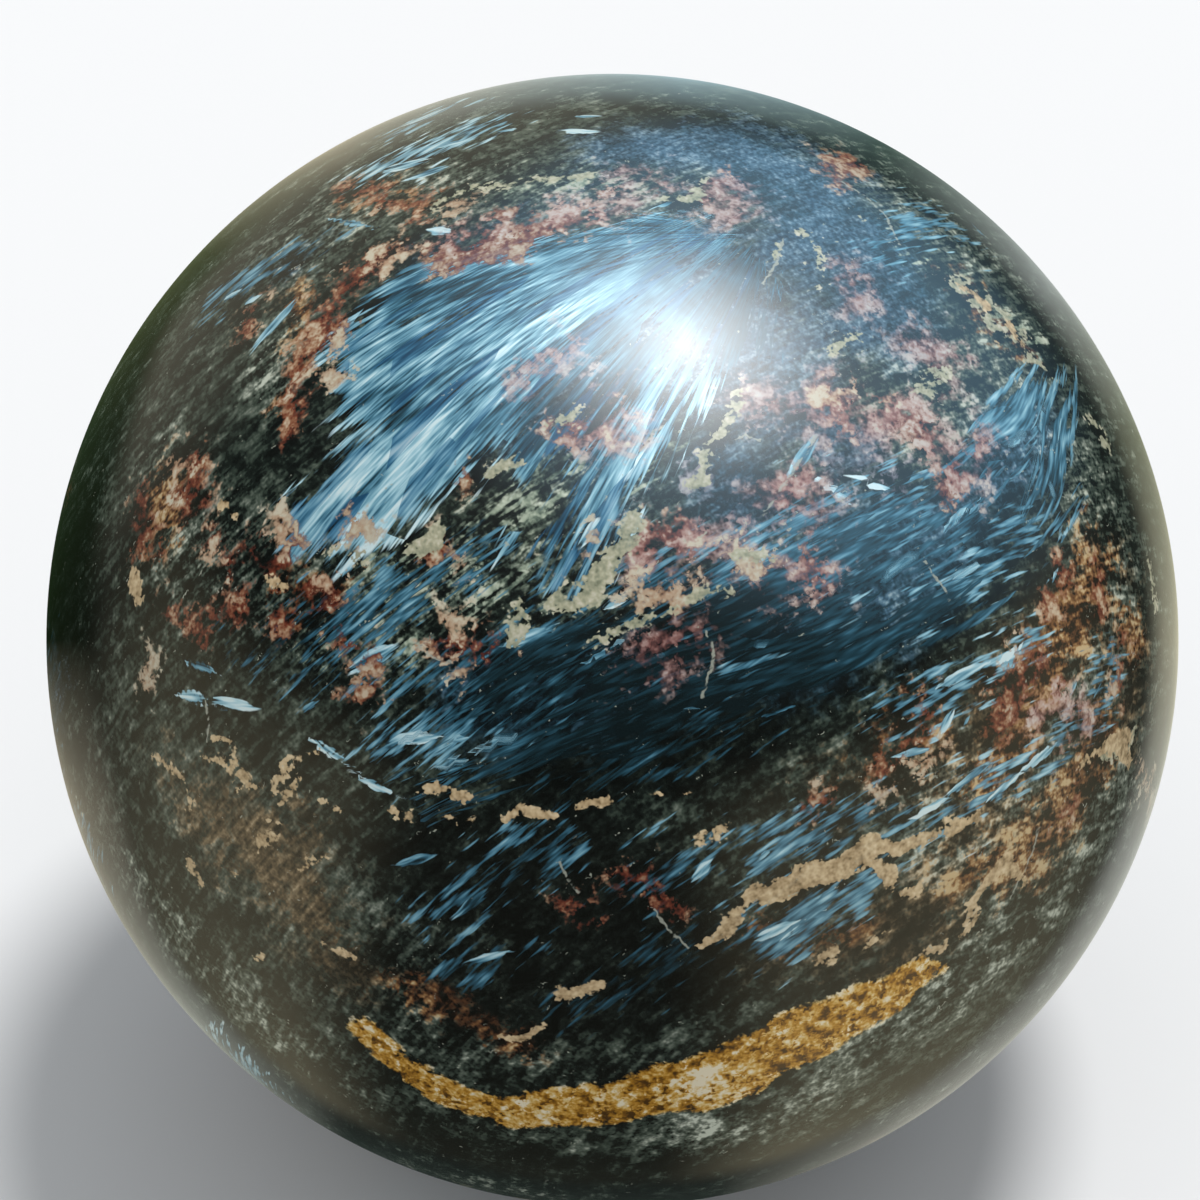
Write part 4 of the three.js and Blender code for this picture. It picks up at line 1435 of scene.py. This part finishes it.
def mirrored_room(tree, offset, ball_size):
    """What the polish mirrors, for an offset from the ball's centre; far away, the ball's size is 0."""
    looking = vector_math(tree, "NORMALIZE", offset)
    right, depth, height = (Number(s) for s in add_node(tree, "ShaderNodeSeparateXYZ", {0: looking}).outputs)
    # Low in front the room is brown, but dark from a bit left of the camera to a bit right of it.
    low = 1 - height.between(*LOW_EDGES)
    in_front = facing(tree, looking, camera_back).between(*FRONT_EDGES)
    sideways = right.math("DIVIDE", (depth * -1.0).larger(LEAST_STEP))
    unlit = sideways.between(*GAP_LEFT) * (1 - sideways.between(*GAP_RIGHT))
    unlit = unlit * (1 - depth.between(*GAP_END))
    room = over(DARK_SIDE, BROWN_LOW, low * in_front * (1 - unlit * 0.94))
    room = over(room, COOL_LIGHT, facing(tree, looking, cool_direction).between(*COOL_EDGES))
    room = over(room, TAN_LIGHT, facing(tree, looking, tan_direction).between(*TAN_EDGES))
    # Near its outline the ball mirrors what stands behind it, by the angle round the line of sight.
    aside = facing(tree, offset, camera_right)
    above = facing(tree, offset, camera_up)
    round_it = above.math("ARCTAN2", aside) * (0.5 / math.pi) + 0.5
    behind = ramp(round_it, BEHIND)
    off_axis = (aside * aside + above * above).math("SQRT")
    ahead = facing(tree, offset, -camera_back) + RING_DEPTH * ball_size
    slant = (off_axis - RING_WIDTH * ball_size).math("DIVIDE", ahead.larger(ALMOST_NOTHING))
    # What stands there reaches further in on the left.
    on_left = (aside * -1.0).math("DIVIDE", off_axis.larger(ALMOST_NOTHING)).between(*LEFT_EDGES)
    slant = slant * (1 - on_left * 0.4)
    return over(room, behind, 1 - slant.between(*RING_EDGES))


# %% The floor
FLOOR_REACH = 3.0
PALE_FLOOR = (0.74, 0.74, 0.74, 1)
# To mirror rays the floor glows with the mirrored room, and right under the ball that glow fades into a
# painted shadow. It brightens between these two distances.
UNDER_BALL = (0.1 * BALL_RADIUS, 0.7 * BALL_RADIUS)


def by_kind_of_ray(tree, for_stone, for_polish):
    """Shows one shader to the polish's mirror rays, and the other to all the rest."""
    ray = add_node(tree, "ShaderNodeLightPath").outputs["Is Glossy Ray"]
    inputs = {0: ray, 1: for_stone.outputs[0], 2: for_polish.outputs[0]}
    return add_node(tree, "ShaderNodeMixShader", inputs).outputs[0]


def make_floor():
    material = bpy.data.materials.new("pale floor")
    material.use_nodes = True
    tree = material.node_tree
    tree.nodes.clear()
    spot = add_node(tree, "ShaderNodeTexCoord").outputs["Object"]
    from_ball = vector_math(tree, "SUBTRACT", spot, BALL_CENTRE)
    away = Number(vector_math(tree, "LENGTH", spot, output="Value"))
    room = mirrored_room(tree, from_ball, BALL_RADIUS)
    strength = away.between(*UNDER_BALL).socket
    mirrored = add_node(tree, "ShaderNodeEmission", {"Color": room, "Strength": strength})
    dull = add_node(tree, "ShaderNodeBsdfDiffuse", {"Color": PALE_FLOOR})
    add_node(tree, "ShaderNodeOutputMaterial", {"Surface": by_kind_of_ray(tree, dull, mirrored)})
    mesh = bpy.data.meshes.new("floor")
    corners = [(x * FLOOR_REACH, y * FLOOR_REACH, 0) for x, y in ((-1, -1), (1, -1), (1, 1), (-1, 1))]
    mesh.from_pydata(corners, [], [(0, 1, 2, 3)])
    mesh.materials.append(material)
    floor = bpy.data.objects.new("floor", mesh)
    bpy.context.scene.collection.objects.link(floor)
    return floor


floor = make_floor()

# %% The lamp
LAMP_STRENGTH = 2.3
LAMP_DISC = math.radians(16)
GLINT_PX = (688, 329)

glint_facing = at_pixel(*GLINT_PX)
lamp_direction = Vector(unit(2 * (glint_facing @ camera_back) * glint_facing - camera_back))
lamp = bpy.data.objects.new("lamp", bpy.data.lights.new("lamp", "SUN"))
lamp.data.energy = LAMP_STRENGTH
lamp.data.angle = LAMP_DISC
lamp.rotation_euler = lamp_direction.to_track_quat("Z", "Y").to_euler()
lamp.visible_glossy = False
bpy.context.scene.collection.objects.link(lamp)
print("the lamp stands toward", [round(part, 2) for part in lamp_direction])

# %% The world: even light for the stone, and the other room for the polish
EVEN_LIGHT = 0.62
EVEN_COLOUR = (0.94, 0.97, 1.0, 1)
GLOW_COLOUR = (1.0, 0.99, 0.97, 1)
GLOW_STRENGTH = 9.0
GLOW_FADE = math.radians(11)
HALO_STRENGTH = 4.4
HALO_REACH = (math.radians(5), math.radians(31))


def make_world():
    world = bpy.data.worlds.new("studio")
    bpy.context.scene.world = world
    world.use_nodes = True
    tree = world.node_tree
    tree.nodes.clear()
    looking = add_node(tree, "ShaderNodeTexCoord").outputs["Generated"]
    off_lamp = facing(tree, looking, lamp_direction).math("MINIMUM", 1.0).math("ARCCOSINE")
    glow_light = (off_lamp * (-1 / GLOW_FADE)).math("EXPONENT") * GLOW_STRENGTH
    glow_light = glow_light + (1 - off_lamp.between(*HALO_REACH)) * HALO_STRENGTH
    glow = add_node(tree, "ShaderNodeBackground", {"Color": GLOW_COLOUR, "Strength": glow_light.socket})
    room = add_node(tree, "ShaderNodeBackground", {"Color": mirrored_room(tree, looking, 0.0)})
    mirrored = add_node(tree, "ShaderNodeAddShader", {0: room.outputs[0], 1: glow.outputs[0]})
    even = add_node(tree, "ShaderNodeBackground", {"Color": EVEN_COLOUR, "Strength": EVEN_LIGHT})
    add_node(tree, "ShaderNodeOutputWorld", {"Surface": by_kind_of_ray(tree, even, mirrored)})


make_world()
bpy.context.scene.view_settings.view_transform = "Standard"

# %% Tie the ball to the frame and finish
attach(ball, "root")
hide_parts("stone_ball")
